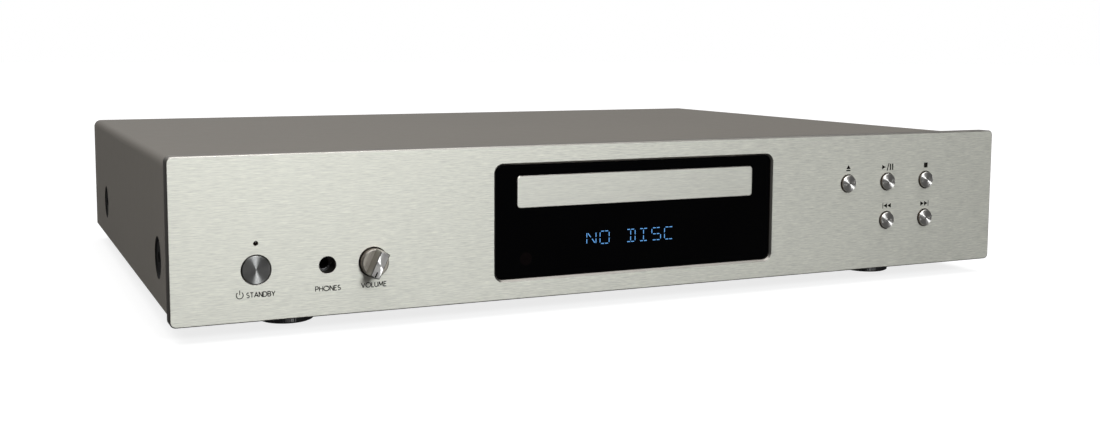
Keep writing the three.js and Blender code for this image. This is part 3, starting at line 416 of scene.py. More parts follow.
class Form:
    """Closed surfaces in mm that become one piece. paint is the material slot of what is drawn next."""

    def __init__(self):
        self.bm = bmesh.new()
        self.paint = 0

    def face(self, corners):
        made = self.bm.faces.new(corners)
        made.material_index = self.paint
        return made

    def ring(self, axis, outline, w):
        return [self.bm.verts.new(AXES[axis](u, v, w)) for u, v in outline]

    def bridge(self, a, b):
        for i in range(len(a)):
            j = (i + 1) % len(a)
            self.face((a[i], a[j], b[j], b[i]))

    def cap(self, *rings):
        """Fills one ring, less the rings inside it."""
        edges = []
        for r in rings:
            for i, v in enumerate(r):
                pair = (r[i - 1], v)
                edges.append(self.bm.edges.get(pair) or self.bm.edges.new(pair))
        made = bmesh.ops.triangle_fill(self.bm, use_beauty=True, edges=edges)
        for g in made["geom"]:
            if isinstance(g, bmesh.types.BMFace):
                g.material_index = self.paint

    def plate(self, axis, *loops, faces=(None, None, None)):
        """A plate of any outline with any holes. Each loop is (outline, wall profile), and a hole that
        doesn't go through has a third member, True. faces are the slots of the front, walls and back."""
        front, walls, back = faces
        ends = []
        for outline, profile, *blind in loops:
            rings = [self.ring(axis, grown(outline, g), w) for g, w in profile]
            self.paint = walls if walls is not None else self.paint
            for a, b in zip(rings, rings[1:]):
                self.bridge(a, b)
            ends.append((rings[0], rings[-1]))
            if blind:
                self.cap(rings[-1])
                ends[-1] = (rings[0], None)
        self.paint = front if front is not None else self.paint
        self.cap(*[e[0] for e in ends])
        self.paint = back if back is not None else self.paint
        self.cap(*[e[1] for e in ends if e[1]])
        return self

    def turned(self, axis, at, profile, n=48):
        """A turned piece about a line through at, from points (radius, w). A third number in a point is
        the material slot from there on."""
        last = None
        for p in profile:
            r, w = p[:2]
            if r < 1e-6:
                ring = [self.bm.verts.new(AXES[axis](*at, w))]
            else:
                ring = self.ring(axis, circle(*at, r, n), w)
            if last and len(last) == len(ring) > 1:
                self.bridge(last, ring)
            elif last:
                many, one = (last, ring[0]) if len(last) > 1 else (ring, last[0])
                for i in range(len(many)):
                    self.face((many[i - 1], many[i], one))
            if len(p) > 2:
                self.paint = p[2]
            last = ring
        return self

    def piece(self, name, body, slot, *materials, replaces=(), at=(0, 0, 0), turn=(0, "Y"), sharp=32):
        """Makes the object with its origin at a point, turned by (degrees, axis) about that point."""
        at = Vector(at)
        turn = Matrix.Rotation(math.radians(turn[0]), 4, turn[1])
        bmesh.ops.remove_doubles(self.bm, verts=self.bm.verts, dist=1e-4)
        bmesh.ops.recalc_face_normals(self.bm, faces=self.bm.faces)
        mesh = bpy.data.meshes.new(name)
        self.bm.to_mesh(mesh)
        self.bm.free()
        mesh.transform(Matrix.Scale(MM, 4) @ Matrix.Translation(-at))
        for m in materials:
            mesh.materials.append(MATERIALS[m] if isinstance(m, str) else m)
        mesh.shade_smooth()
        mesh.set_sharp_from_angle(angle=math.radians(sharp))
        obj = linked(bpy.data.objects.new(name, mesh))
        obj.matrix_world = Matrix.Translation((at.x * MM, FACE + at.y * MM, at.z * MM)) @ turn
        even = obj.modifiers.new("even_normals", "WEIGHTED_NORMAL")
        even.keep_sharp = True
        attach(obj, body)
        if replaces:
            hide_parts(*([replaces] if isinstance(replaces, str) else replaces))
        return obj


# ---------------------------------------------------------------- front panel

BUTTONS = ("eject", "play_pause", "stop", "previous", "next")
(panel_x0, _, panel_z0), (panel_x1, panel_back, panel_z1) = span("front_panel")
(window_x0, window_d0, window_z0), (window_x1, window_d1, window_z1) = span("display_window")
(drawer_x0, drawer_d0, drawer_z0), (drawer_x1, drawer_d1, drawer_z1) = span("tray_front")
FIT = 0.3  # the gap between pieces that would touch
WINDOW_BEVEL = 0.9

button_at = {b: middle(f"{b}_button") for b in BUTTONS}
standby_at, knob_at = middle("standby_button"), middle("volume_knob")
led_at, phones_at = middle("standby_led"), middle("phones_jack")
BUTTON_R, BUTTON_FACE = 4.2, -1.4
STANDBY_R, STANDBY_FACE = 5.95, -0.45
KNOB_R, KNOB_DISC, KNOB_HALF_BAR, KNOB_TILT = 6.0, -3.4, 2.2, 25.5  # the tilt is in degrees
PHONES_R = 3.6  # of its hole in the panel
LED_R = 0.95


def front_panel():
    """The thick fascia: round corners, a softly cut edge, and a bevelled or eased edge round each opening,
    its edges and walls in a darkened copy of the aluminium that paints shade on them.
    """
    outer = rounded(panel_x0, panel_z0, panel_x1, panel_z1, 2.5, 12)
    opening = rounded(window_x0 - FIT, window_z0 - FIT, window_x1 + FIT, window_z1 + FIT, 3.5, 12)
    bevel = [(WINDOW_BEVEL, 0), (WINDOW_BEVEL - 0.12, 0.06), (0, WINDOW_BEVEL), (0, panel_back)]
    loops = [
        (outer, wall(0, panel_back, 0.45, 0.45, 3)),
        (opening, bevel),
    ]
    for x, z, r in (
        *((at[0], at[2], BUTTON_R + FIT) for at in button_at.values()),
        (standby_at[0], standby_at[2], STANDBY_R + FIT),
        (knob_at[0], knob_at[2], KNOB_R + 0.4),
        (phones_at[0], phones_at[2], PHONES_R),
    ):
        loops.append((circle(x, z, r, 56), wall(0, panel_back, 0.18, 0.1, 2, hole=True)))
    loops.append((circle(led_at[0], led_at[2], LED_R, 24), wall(0, panel_back, 0.1, 0, 1, hole=True)))
    form = Form().plate("y", *loops, faces=(0, 1, 0))
    return form.piece("fascia", "case", "aluminium", "panel", "chamfer", replaces="front_panel")


front_panel()

Form().plate(
    "y",
    (
        rounded(window_x0, window_z0, window_x1, window_z1, 3.2, 12),
        wall(window_d0, window_d1, 0.25, 0, 3),
    ),
    (
        rounded(drawer_x0 - 0.4, drawer_z0 - 0.4, drawer_x1 + 0.4, drawer_z1 + 0.4, 1.8, 8),
        wall(window_d0, window_d1, 0.12, 0, 2, hole=True),
    ),
).piece("window_glass", "case", "window_acrylic", "window", replaces="display_window")

Form().plate(
    "y",
    (rounded(drawer_x0, drawer_z0, drawer_x1, drawer_z1, 1.6, 8), wall(drawer_d0, drawer_d1, 0.35, 0, 2)),
    faces=(0, 1, 0),
).piece("drawer_front", "tray", "aluminium", "drawer", "chamfer", replaces="tray_front")


# ---------------------------------------------------------------- buttons and knob


def button(name, at, r, front, rim, finish):
    """A turned cap: a barely dished spun face, a cut rim and a plain wall down to its flange and stem; the
    wall is in a darker copy of the metal, painted shade.
    """
    x, _, z = at
    back = span(f"{name}_button")[1][1]
    face = r - rim
    flange, flange_front, flange_back, stem = r + 1.25, 7.9, 9, 1.5
    profile = [(0, front + 0.1, 0), (r * 0.3, front + 0.08), (r * 0.6, front + 0.04), (face - 0.1, front)]
    profile += [(face, front + 0.02), (r - 0.04, front + rim), (r, front + rim + 0.1, 1), (r, flange_front)]
    profile += [(flange, flange_front), (flange, flange_back), (stem, flange_back), (stem, back), (0, back)]
    Form().turned("y", (x, z), profile, 64).piece(
        f"{name}_cap", name, "spun_buttons", finish, "shaded_lathed_side",
        replaces=f"{name}_button", at=(x, front, z),
    )


for b in BUTTONS:
    button(b, button_at[b], BUTTON_R, BUTTON_FACE, 0.3, "spun")
# The standby cap takes the darkened spun metal: painted shade.
button("standby", standby_at, STANDBY_R, STANDBY_FACE, 0.25, "spun_shaded")


def knob():
    """A cylinder milled away on both sides of a grip bar, with its turned face left on the bar."""
    x, z = knob_at[0], knob_at[2]
    low, high = span("volume_knob")
    front, back = low[1], high[1]
    disc, half, r = KNOB_DISC, KNOB_HALF_BAR, KNOB_R
    form = Form()
    # The knob's side, slot 3, is the darker copy of its metal: painted shade.
    form.turned(
        "y",
        (x, z),
        [(0, disc, 0), (r - 0.5, disc, 1), (r - 0.05, disc + 0.42, 3), (r, disc + 0.6), (r, back - 0.3)]
        + [(r - 0.3, back), (0, back)],
        72,
    )
    bar_r = r - 0.04
    end = math.atan2(math.sqrt(bar_r**2 - half**2), half)
    sweep = [end + (math.pi - 2 * end) * i / 12 for i in range(13)]
    outline = [(bar_r * math.cos(a), bar_r * math.sin(a)) for a in sweep]
    outline += [(-u, -v) for u, v in outline]
    outline = [(x + u, z + v) for u, v in outline]
    form.plate("y", (outline, wall(front + 0.02, disc + 0.3, 0.4, 0, 1)), faces=(2, 1, 0))
    form.paint = 4
    pointer = rounded(x - 0.28, z - r + 0.5, x + 0.28, z - r + 2.9, 0.2, 3)
    form.plate("y", (pointer, wall(front, front + 0.1)))
    form.piece(
        "knob",
        "volume",
        "aluminium",
        "milled",
        "chamfer",
        "spun_knob",
        "shaded_lathed_side",
        "ink",
        replaces="volume_knob",
        at=(x, disc, z),
        turn=(KNOB_TILT, "Y"),
    )


knob()

# ---------------------------------------------------------------- printing on the panel

INK = 0.37  # stroke width
CAP_HEIGHT = 2.35


def arc(u, v, ru, rv, start, end, n=10):
    """Points along part of an ellipse, between two angles in degrees."""
    return [
        (u + ru * math.cos(math.radians(start + (end - start) * i / n)),
         v + rv * math.sin(math.radians(start + (end - start) * i / n)))
        for i in range(n + 1)
    ]


# Capital letters as strokes in a box one cap height tall: (width, strokes).
LETTERS = {
    "A": (0.74, [[(0, 0), (0.37, 1), (0.74, 0)], [(0.13, 0.33), (0.61, 0.33)]]),
    "B": (0.56, [[(0, 0), (0, 1), *arc(0.28, 0.765, 0.23, 0.235, 90, -90), (0, 0.53)],
                 [(0.28, 0.53), *arc(0.29, 0.265, 0.27, 0.265, 90, -90), (0, 0)]]),
    "C": (0.78, [arc(0.5, 0.5, 0.5, 0.5, 50, 310, 20)]),
    "D": (0.74, [[(0, 0), (0, 1), *arc(0.26, 0.5, 0.48, 0.5, 90, -90, 14), (0, 0)]]),
    "E": (0.48, [[(0.48, 1), (0, 1), (0, 0), (0.48, 0)], [(0, 0.52), (0.42, 0.52)]]),
    "G": (0.86, [[*arc(0.5, 0.5, 0.5, 0.5, 48, 360, 22), (0.55, 0.5)]]),
    "H": (0.64, [[(0, 0), (0, 1)], [(0.64, 0), (0.64, 1)], [(0, 0.52), (0.64, 0.52)]]),
    "I": (0.0, [[(0, 0), (0, 1)]]),
    "L": (0.44, [[(0, 1), (0, 0), (0.44, 0)]]),
    "M": (0.86, [[(0, 0), (0.1, 1), (0.43, 0.22), (0.76, 1), (0.86, 0)]]),
    "N": (0.6, [[(0, 0), (0, 1), (0.6, 0), (0.6, 1)]]),
    "O": (1.0, [arc(0.5, 0.5, 0.5, 0.5, 0, 360, 28)]),
    "P": (0.54, [[(0, 0), (0, 1), *arc(0.27, 0.73, 0.27, 0.27, 90, -90), (0, 0.46)]]),
    "R": (0.56, [[(0, 0), (0, 1), *arc(0.27, 0.73, 0.27, 0.27, 90, -90), (0, 0.46)],
                 [(0.27, 0.46), (0.56, 0)]]),
    "S": (0.52, [[*arc(0.26, 0.75, 0.22, 0.25, 35, 270, 12), *arc(0.26, 0.25, 0.26, 0.25, 90, -145, 12)]]),
    "T": (0.62, [[(0, 1), (0.62, 1)], [(0.31, 1), (0.31, 0)]]),
    "U": (0.62, [[(0, 1), *arc(0.31, 0.32, 0.31, 0.32, 180, 360, 12), (0.62, 1)]]),
    "V": (0.7, [[(0, 1), (0.35, 0), (0.7, 1)]]),
    "W": (0.96, [[(0, 1), (0.24, 0), (0.48, 0.9), (0.72, 0), (0.96, 1)]]),
    "X": (0.62, [[(0, 0), (0.62, 1)], [(0, 1), (0.62, 0)]]),
    "Y": (0.66, [[(0, 1), (0.33, 0.46), (0.66, 1)], [(0.33, 0.46), (0.33, 0)]]),
    " ": (0.3, []),
}


def ribbon(points, width):
    """The outline of a stroke of even width along a line of points."""
    points = [p for i, p in enumerate(points) if not i or math.dist(p, points[i - 1]) > 1e-4]
    closed = math.dist(points[0], points[-1]) < 1e-4
    left, right = [], []
    for i, p in enumerate(points):
        before = points[i - 1] if i else (points[-2] if closed else p)
        after = points[i + 1] if i + 1 < len(points) else (points[1] if closed else p)
        a, b = Vector((p[0] - before[0], p[1] - before[1])), Vector((after[0] - p[0], after[1] - p[1]))
        a, b = (a or b).normalized(), (b or a).normalized()
        n1, n2 = Vector((-a.y, a.x)), Vector((-b.y, b.x))
        m = (n1 + n2) / max(0.4, 1 + n1.dot(n2)) * width / 2
        left.append((p[0] + m.x, p[1] + m.y))
        right.append((p[0] - m.x, p[1] - m.y))
    return left, right, closed


def word_length(text, gap=0.2):
    """A word's length in cap heights."""
    return sum(LETTERS[c][0] for c in text) + gap * (len(text) - 1)


class Print:
    """Thin raised print on a face at one depth. side is -1 where the face looks backwards."""

    def __init__(self, depth, thick=0.03, side=1):
        self.form, self.side = Form(), side
        self.profile = [(0, depth - side * thick), (0, depth + side * 0.01)]

    def flat(self, outline):
        """A filled shape."""
        self.form.plate("y", ([(self.side * u, v) for u, v in outline], self.profile))

    def stroke(self, points, width=INK):
        """A stroke, cut into runs at its sharp corners, each run ending square just past the corner."""
        points = [p for i, p in enumerate(points) if not i or math.dist(p, points[i - 1]) > 1e-4]
        steps = [Vector((b[0] - a[0], b[1] - a[1])).normalized() for a, b in zip(points, points[1:])]
        runs = [[points[0]]]
        for i, step in enumerate(steps):
            if i and steps[i - 1].dot(step) < 0.7:
                runs.append([points[i]])
            runs[-1].append(points[i + 1])
        if len(runs) > 1:
            for run in runs:
                for tip, beside in ((0, 1), (-1, -2)):
                    if run[tip] in (points[0], points[-1]) and math.dist(points[0], points[-1]) > 1e-4:
                        continue
                    out = Vector((run[tip][0] - run[beside][0], run[tip][1] - run[beside][1])).normalized()
                    run[tip] = (run[tip][0] + out.x * width * 0.42, run[tip][1] + out.y * width * 0.42)
                self.run(run, width)
        else:
            self.run(points, width)

    def run(self, points, width):
        """One smooth stretch of a stroke, or a closed ring."""
        left, right, closed = ribbon(points, width)
        if closed:
            sides = [[(self.side * u, v) for u, v in edge[:-1]] for edge in (left, right)]
            self.form.plate("y", *((edge, self.profile) for edge in sides))
        else:
            self.flat(left + right[::-1])

    def word(self, text, u0, u1, v, height, width=INK, gap=0.2):
        """Letters spread to fill u0 to u1."""
        inset = width / 2
        scale = (u1 - u0 - width) / word_length(text, gap)
        at = u0 + inset
        for c in text:
            for stroke in LETTERS[c][1]:
                self.stroke([(at + x * scale, v + inset + y * (height - width)) for x, y in stroke], width)
            at += (LETTERS[c][0] + gap) * scale


def panel_print():
    """The words under the left-hand controls and the marks over the buttons."""
    ink = Print(0.0)
    ink.word("STANDBY", -184.3, -172.2, 17.35, CAP_HEIGHT)
    ink.word("PHONES", -155.5, -144.4, 17.7, CAP_HEIGHT)
    ink.word("VOLUME", -135.6, -124.2, 17.8, CAP_HEIGHT)
    ink.stroke(arc(-186.9, 18.75, 1.4, 1.4, 128, 412, 24))
    ink.stroke([(-186.9, 18.9), (-186.9, 20.8)])
    x, _, z = button_at["eject"]
    z += 7.6
    ink.flat([(x - 1.3, z - 0.25), (x + 1.3, z - 0.25), (x, z + 1.75)])
    ink.flat([(x - 1.25, z - 1.35), (x + 1.25, z - 1.35), (x + 1.25, z - 0.75), (x - 1.25, z - 0.75)])
    x, _, z = button_at["play_pause"]
    z += 7.5
    ink.flat([(x - 3.6, z - 1.15), (x - 1.25, z), (x - 3.6, z + 1.15)])
    ink.stroke([(x - 0.35, z - 1.95), (x + 0.75, z + 1.95)], 0.52)
    for dx in (1.75, 3.2):
        ink.flat(rounded(x + dx - 0.38, z - 1.6, x + dx + 0.38, z + 1.6, 0.05, 2))
    x, _, z = button_at["stop"]
    z += 7.6
    ink.flat([(x - 1.2, z - 1.3), (x + 1.2, z - 1.3), (x + 1.2, z + 1.3), (x - 1.2, z + 1.3)])
    for name, way in (("previous", -1), ("next", 1)):
        x, _, z = button_at[name]
        z += 7.4
        for start in (-2.8, -0.3):
            tip = (x + way * (start + 2.3), z)
            ink.flat([(x + way * start, z - 1.2), tip, (x + way * start, z + 1.2)][::way])
        bar = x + way * 2.4
        ink.flat(rounded(bar - 0.2, z - 1.45, bar + 0.2, z + 1.45, 0.05, 2))
    ink.form.piece("panel_marks", "case", "gloss_black", "ink")


panel_print()

# Fourteen-segment characters, each in a box CELL wide and tall.
CELL = (4.75, 5.75)
CELL_PITCH = 6.88
TEXT_AT = (-27.3, 29.6)
SEGMENT_WIDTH = 0.36
SEGMENTS = {
    "top": [(0.12, 1, 0.44, 1), (0.56, 1, 0.88, 1)],
    "bottom": [(0.12, 0, 0.44, 0), (0.56, 0, 0.88, 0)],
    "middle": [(0.14, 0.5, 0.43, 0.5), (0.57, 0.5, 0.86, 0.5)],
    "left": [(0, 0.09, 0, 0.43), (0, 0.57, 0, 0.91)],
    "right": [(1, 0.09, 1, 0.43), (1, 0.57, 1, 0.91)],
    "centre": [(0.5, 0.1, 0.5, 0.43), (0.5, 0.57, 0.5, 0.9)],
    "fall": [(0.13, 0.9, 0.42, 0.57), (0.58, 0.43, 0.87, 0.1)],
}
SHAPES = {
    "N": ["left", "fall", "right"],
    "O": ["top", "bottom", "left", "right"],
    "D": ["top", "bottom", "centre", "right"],
    "I": ["top", "bottom", "centre"],
    "S": ["top", ("left", 1), "middle", ("right", 0), "bottom"],
    "C": ["top", "left", "bottom"],
    " ": [],
}


def display_text():
    """The lit message of an empty player."""
    glow = Print(window_d0, 0.02)
    for place, letter in enumerate("NO DISC"):
        for name in SHAPES[letter]:
            parts = SEGMENTS[name] if isinstance(name, str) else [SEGMENTS[name[0]][name[1]]]
            for u0, v0, u1, v1 in parts:
                line = [
                    (TEXT_AT[0] + place * CELL_PITCH + u * CELL[0], TEXT_AT[1] + v * CELL[1])
                    for u, v in ((u0, v0), (u1, v1))
                ]
                glow.stroke(line, SEGMENT_WIDTH)
    glow.form.piece("display_segments", "case", "display_glass", "glow")


display_text()
SENSOR_AT = (-58, 25)
sensor_edge = [(0, window_d0 - 0.02), (2.9, window_d0 - 0.02), (3, window_d0 + 0.02)]
sensor = Form().turned("y", SENSOR_AT, sensor_edge, 40)
sensor.piece("remote_sensor_window", "case", "display_glass", "sensor")

# ---------------------------------------------------------------- headphone socket and standby light


def phones_socket():
    """A moulded socket with a chamfered bore and three sprung contacts in it."""
    x, z = phones_at[0], phones_at[2]
    (x0, nose, z0), (x1, back, z1) = span("phones_jack")
    bore, body = 3.25, 12.0
    form = Form()
    tube = [(bore, body + 0.5), (bore, nose + 0.35), (bore + 0.25, nose + 0.05), (bore + 0.5, nose)]
    tube += [(5.35, nose), (5.6, nose + 0.25), (5.6, body + 0.5), (bore, body + 0.5)]
    form.turned("y", (x, z), tube, 56)
    hole = (circle(x, z, bore, 56), wall(body, back - 2, 0, 0.3, 3, hole=True), True)
    form.plate("y", (rounded(x0, z0, x1, z1, 0.8, 5), wall(body, back, 0.4, 0.4, 3)), hole)
    form.piece("phones_socket", "case", "black_plastic", "plastic", replaces="phones_jack", sharp=40)
    leaves = Form()
    for depth, side in ((13.5, 1), (19.5, -1), (27, 1)):
        leaf = [(0, 0), (2.4, 0.1), (3.4, 0.75), (4.4, 0.1), (5.6, 0)]
        left, right, _ = ribbon([(depth + u, z + side * (bore - v)) for u, v in leaf], 0.25)
        leaves.plate("x", (left + right[::-1], [(0, x - 0.8), (0, x + 0.8)]))
    leaves.piece("phones_contacts", "case", "steel_parts", "steel")
    inner, outer = bore - 0.35, bore - 0.05
    ring = [(inner, nose + 0.5), (outer, nose + 0.4), (outer, nose + 1.6), (inner, nose + 1.5)]
    sleeve = Form().turned("y", (x, z), ring + ring[:1], 48)
    sleeve.piece("phones_sleeve", "case", "steel_parts", "black_steel")


phones_socket()

(_, led_front, _), (_, led_back, _) = span("standby_led")
dome = [(0, led_front), (0.35, led_front + 0.04), (0.62, led_front + 0.16), (0.75, led_front + 0.4)]
Form().turned("y", (led_at[0], led_at[2]), dome + [(0.75, led_back), (0, led_back)], 28).piece(
    "standby_light", "case", "led_lens", "led", replaces="standby_led"
)

# ---------------------------------------------------------------- cover, its screws and the feet

(_, cover_d0, cover_z0), (cover_half, cover_d1, cover_z1) = span("top_cover")
SHEET = 1.5
BEND = 4
DISH = 9  # radius of the dish round each side screw
DISH_DEPTH = 2.3
CORNERS = [f"{end}_{side}" for end in ("front", "rear") for side in ("left", "right")]
screw_spots = {corner: middle(f"cover_screw_{corner}") for corner in CORNERS}


def bent_profile(half, top, bend, n=10):
    """The cover's section: up the left side, round the bend, across, and down."""
    left = [(-half, cover_z0)]
    for i in range(n + 1):
        a = math.pi - i / n * math.pi / 2
        left.append((-half + bend + bend * math.cos(a), top - bend + bend * math.sin(a)))
    return left + [(-u, v) for u, v in reversed(left)]


def top_cover():
    """One bent sheet, with a pressed dish round each side screw."""
    form = Form()
    half = cover_half
    ease = 0.25
    ends = []
    dishes = {}
    seat = half - DISH_DEPTH
    for x, d, z in screw_spots.values():
        side = -1 if x < 0 else 1
        profile = [(DISH + 0.5, half), (DISH + 0.2, half - 0.08), (DISH - 0.1, half - 0.45)]
        profile += [(8.1, seat + 0.25), (7.7, seat), (2.4, seat)]
        profile += [(2.4, seat - SHEET), (8.4, seat - SHEET), (10.1, half - SHEET)]
        rings = [form.ring("x", circle(d, z, r, 48), side * w) for r, w in profile]
        for a, b in zip(rings, rings[1:]):
            form.bridge(a, b)
        dishes.setdefault(side, []).append((rings[0], rings[-1]))
    skins = bent_profile(half, cover_z1, BEND), bent_profile(half - SHEET, cover_z1 - SHEET, BEND - SHEET)
    for layer, outline in enumerate(skins):
        d0, d1 = (cover_d0 + ease, cover_d1 - ease) if layer == 0 else (cover_d0, cover_d1)
        front, back = form.ring("y", outline, d0), form.ring("y", outline, d1)
        last = len(outline) - 1
        for i in range(1, last - 1):
            form.face((front[i], front[i + 1], back[i + 1], back[i]))
        for side, i in ((-1, 0), (1, last - 1)):
            rim = [front[i], front[i + 1], back[i + 1], back[i]]
            form.cap(rim, *[pair[layer] for pair in dishes[side]])
        ends.append((front, back))
    eased = bent_profile(half - ease, cover_z1 - ease, BEND - ease)
    for k, d in ((0, cover_d0), (1, cover_d1)):
        outer, rim, inner = ends[0][k], form.ring("y", eased, d), ends[1][k]
        for a, b in ((outer, rim), (rim, inner)):
            for i in range(len(a) - 1):
                form.face((a[i], a[i + 1], b[i + 1], b[i]))
        ends.append((outer, rim, inner))
    (fo, fr, fi), (bo, br, bi) = ends[2], ends[3]
    for i in (0, len(fo) - 1):
        form.face((fo[i], fr[i], fi[i], bi[i], br[i], bo[i]))
    form.piece("cover_sheet", "case", "cover_paint", "cover", replaces="top_cover", sharp=28)


top_cover()

HEX = 2.6  # the screws' hexagonal sockets, middle to corner


def cover_screw(name, at):
    """A low black cap screw with a hexagon socket, in a dish lined with a black cup, a dark lining that
    paints the shade of the dish.
    """
    x, d, z = at
    side = -1 if x < 0 else 1
    low, high = span(f"cover_screw_{name}")
    face, tip = (low[0], high[0]) if side < 0 else (high[0], low[0])
    seat = face - side * 1.5
    form = Form()
    hexagon = [(d + HEX * math.cos(TAU * k / 6), z + HEX * math.sin(TAU * k / 6)) for k in range(6)]
    form.plate(
        "x",
        (circle(d, z, 7.3, 56), wall(face, seat, 0.7, 0.1, 4)),
        (hexagon, wall(face, face - side * 1.1, 0.12, 0, 1, hole=True), True),
    )
    form.turned("x", (d, z), [(0, seat + side * 0.1), (1.95, seat + side * 0.1), (1.95, tip), (0, tip)], 24)
    form.piece(f"side_screw_{name}", "case", "black_steel", "screw", replaces=f"cover_screw_{name}")
    # The lining darkens the whole dish: painted shade.
    skin = side * cover_half
    cup = [(7.45, seat), (7.75, seat + side * 0.08)]
    cup += [(r, skin - side * below) for r, below in (
        (8.0, 1.8), (8.75, 0.42), (9.0, 0.22), (9.28, 0.06), (9.1, 0.02), (8.6, 0.3), (7.8, 1.5), (7.45, 1.7)
    )]
    cup.append((7.45, seat))
    Form().turned("x", (d, z), cup, 56).piece(f"screw_dish_shade_{name}", "case", "black_plastic", "cup")


for name, at in screw_spots.items():
    cover_screw(name, at)


FOOT_R, FOOT_TOP = 12, 9.4
FOOT_RIBS, RIB_DEPTH = 60, 0.05


def foot(name):
    """A glossy moulded ring with fine upright ribs, a soft pad under it and a peg through the chassis."""
    x, d, _ = middle(name)
    peg = span(name)[1][2]
    top = FOOT_TOP
    form = Form()
    n = FOOT_RIBS * 6
    outline = []
    for i in range(n):
        a = TAU * i / n
        reach = FOOT_R - RIB_DEPTH * max(0.0, math.cos(FOOT_RIBS * a)) ** 2
        outline.append((x + reach * math.cos(a), d + reach * math.sin(a)))
    form.plate("z", (outline, wall(0.3, top, 0.45, 0.3, 4)))
    form.paint = 1
    pad = [(0, 0.25), (8.2, 0.25), (8.5, 0), (10.9, 0), (11.2, 0.2), (11.2, 0.6), (0, 0.6)]
    form.turned("z", (x, d), pad, 64)
    form.paint = 0
    form.turned("z", (x, d), [(0, top - 0.2), (2.5, top - 0.2), (2.5, peg - 0.5), (2, peg), (0, peg)], 24)
    form.piece(f"rubber_{name}", "case", "gloss_black", "gloss", "rubber", replaces=name, at=(x, d, 0))


for corner in CORNERS:
    foot(f"foot_{corner}")

# ---------------------------------------------------------------- back panel and sockets

(rear_x0, rear_d0, rear_z0), (rear_x1, rear_d1, rear_z1) = span("rear_panel")
jack_end = span("audio_jacks")[1][1]
PHONO_LEFT, PHONO_RIGHT, COAX = (112, 33), (134, 33), (160, 33)
OPTICAL = (184, 27)
INLET = (-165, 31)
SWITCH = (-122, 31)
INSIDE = 309.6  # depth of the faces of the socket bodies
FLANGE = 311.5  # depth of the undersides of the inlet's and the switch's flanges
VENT_COUNT, VENT_FIRST, VENT_PITCH, VENT_WIDTH = 12, -60, 10.4, 4
VENT_LOW, VENT_HIGH = 24, 52


def back_panel():
    """The pressed back: rounded vents, socket holes and broken edges."""
    corner = 1.8
    outline = [(rear_x0, rear_z0), (rear_x1, rear_z0), (rear_x1, rear_z1 - corner)]
    outline += [(rear_x1 - corner, rear_z1), (rear_x0 + corner, rear_z1), (rear_x0, rear_z1 - corner)]
    cut = wall(rear_d1, rear_d0, 0.15, 0, 2, hole=True)
    loops = [(outline, wall(rear_d1, rear_d0, 0.15, 0, 2))]
    for i in range(VENT_COUNT):
        x = VENT_FIRST + VENT_PITCH * i
        loops.append((rounded(x, VENT_LOW, x + VENT_WIDTH, VENT_HIGH, 1.9, 6), cut))
    for x, z in (PHONO_LEFT, PHONO_RIGHT, COAX):
        loops.append((circle(x, z, 4.9, 40), cut))
    for (x, z), w, h, r in ((OPTICAL, 5.4, 5.4, 0.6), (INLET, 13.9, 10.1, 1), (SWITCH, 6.6, 9.8, 0.8)):
        loops.append((rounded(x - w, z - h, x + w, z + h, r, 4), cut))
    form = Form().plate("y", *loops)
    form.piece("back_panel", "case", "black_steel", "black_steel", replaces="rear_panel")


back_panel()


def phono_barrel(form, x, z, ring):
    """A plated barrel round a coloured insulator, with a moulded collar against the panel."""
    form.paint = 1
    barrel = [(3.1, 310), (4.15, 310), (4.15, jack_end - 0.45), (3.95, jack_end - 0.12), (3.7, jack_end)]
    barrel += [(3.4, jack_end), (3.1, jack_end - 0.3), (3.1, 310)]
    form.turned("y", (x, z), barrel, 48)
    form.paint = ring
    insulator = [(0, 313.2), (1.2, 313.2), (1.2, jack_end - 0.9), (1.45, jack_end - 0.6)]
    insulator += [(2.9, jack_end - 0.6), (3.12, jack_end - 0.9), (3.12, 311), (0, 311)]
    form.turned("y", (x, z), insulator, 40)
    collar = [(4.15, 309.8), (4.75, 309.8)]
    collar += [(r, rear_d1 + out) for r, out in (
        (4.75, 0.1), (6.1, 0.1), (6.3, 0.3), (6.3, 1.1), (6.0, 1.4), (4.5, 1.4), (4.15, 1.2)
    )]
    form.turned("y", (x, z), collar + collar[:1], 48)


def phono_block(name, node, barrels, colours):
    """A row of phono barrels on one moulded body."""
    form = Form()
    (x0, d0, z0), (x1, _, z1) = span(node)
    form.plate("y", (rounded(x0, z0, x1, z1, 0.7, 4), wall(INSIDE, d0, 0.3, 0.3, 2)))
    for k, (x, z) in enumerate(barrels):
        phono_barrel(form, x, z, 2 + k)
    form.piece(name, "case", "black_plastic", "plastic", "nickel", *colours, replaces=node)


phono_block("phono_sockets", "audio_jacks", (PHONO_LEFT, PHONO_RIGHT), ("white_plastic", "red_plastic"))
phono_block("coaxial_socket", "coax_jack", (COAX,), ("orange_plastic",))


def optical_socket():
    """A square moulded port with a hinged shutter."""
    x, z = OPTICAL
    (x0, d0, z0), (x1, d1, z1) = span("optical_jack")
    form = Form()
    form.plate("y", (rounded(x0, z0, x1, z1, 0.6, 4), wall(INSIDE, d0, 0.3, 0.3, 2)))

    def square(half, r):
        return rounded(x - half, z - half, x + half, z + half, r, 4)

    port = (square(3.6, 0.9), wall(d1, d1 - 1, 0.3, 0, 3, hole=True), True)
    form.plate("y", (square(5, 0.7), wall(d1, 309, 0.25, 0, 3)), port)
    form.paint = 1
    form.plate("y", (square(3.2, 0.6), wall(d1 - 0.55, d1 - 1.2, 0.2, 0, 2)))
    form.plate("x", (circle(d1 - 0.5, z + 3.1, 0.32, 16), [(0, x - 3.4), (0, x + 3.4)]))
    form.piece("optical_socket", "case", "black_plastic", "plastic", "grey_plastic", replaces="optical_jack")


optical_socket()


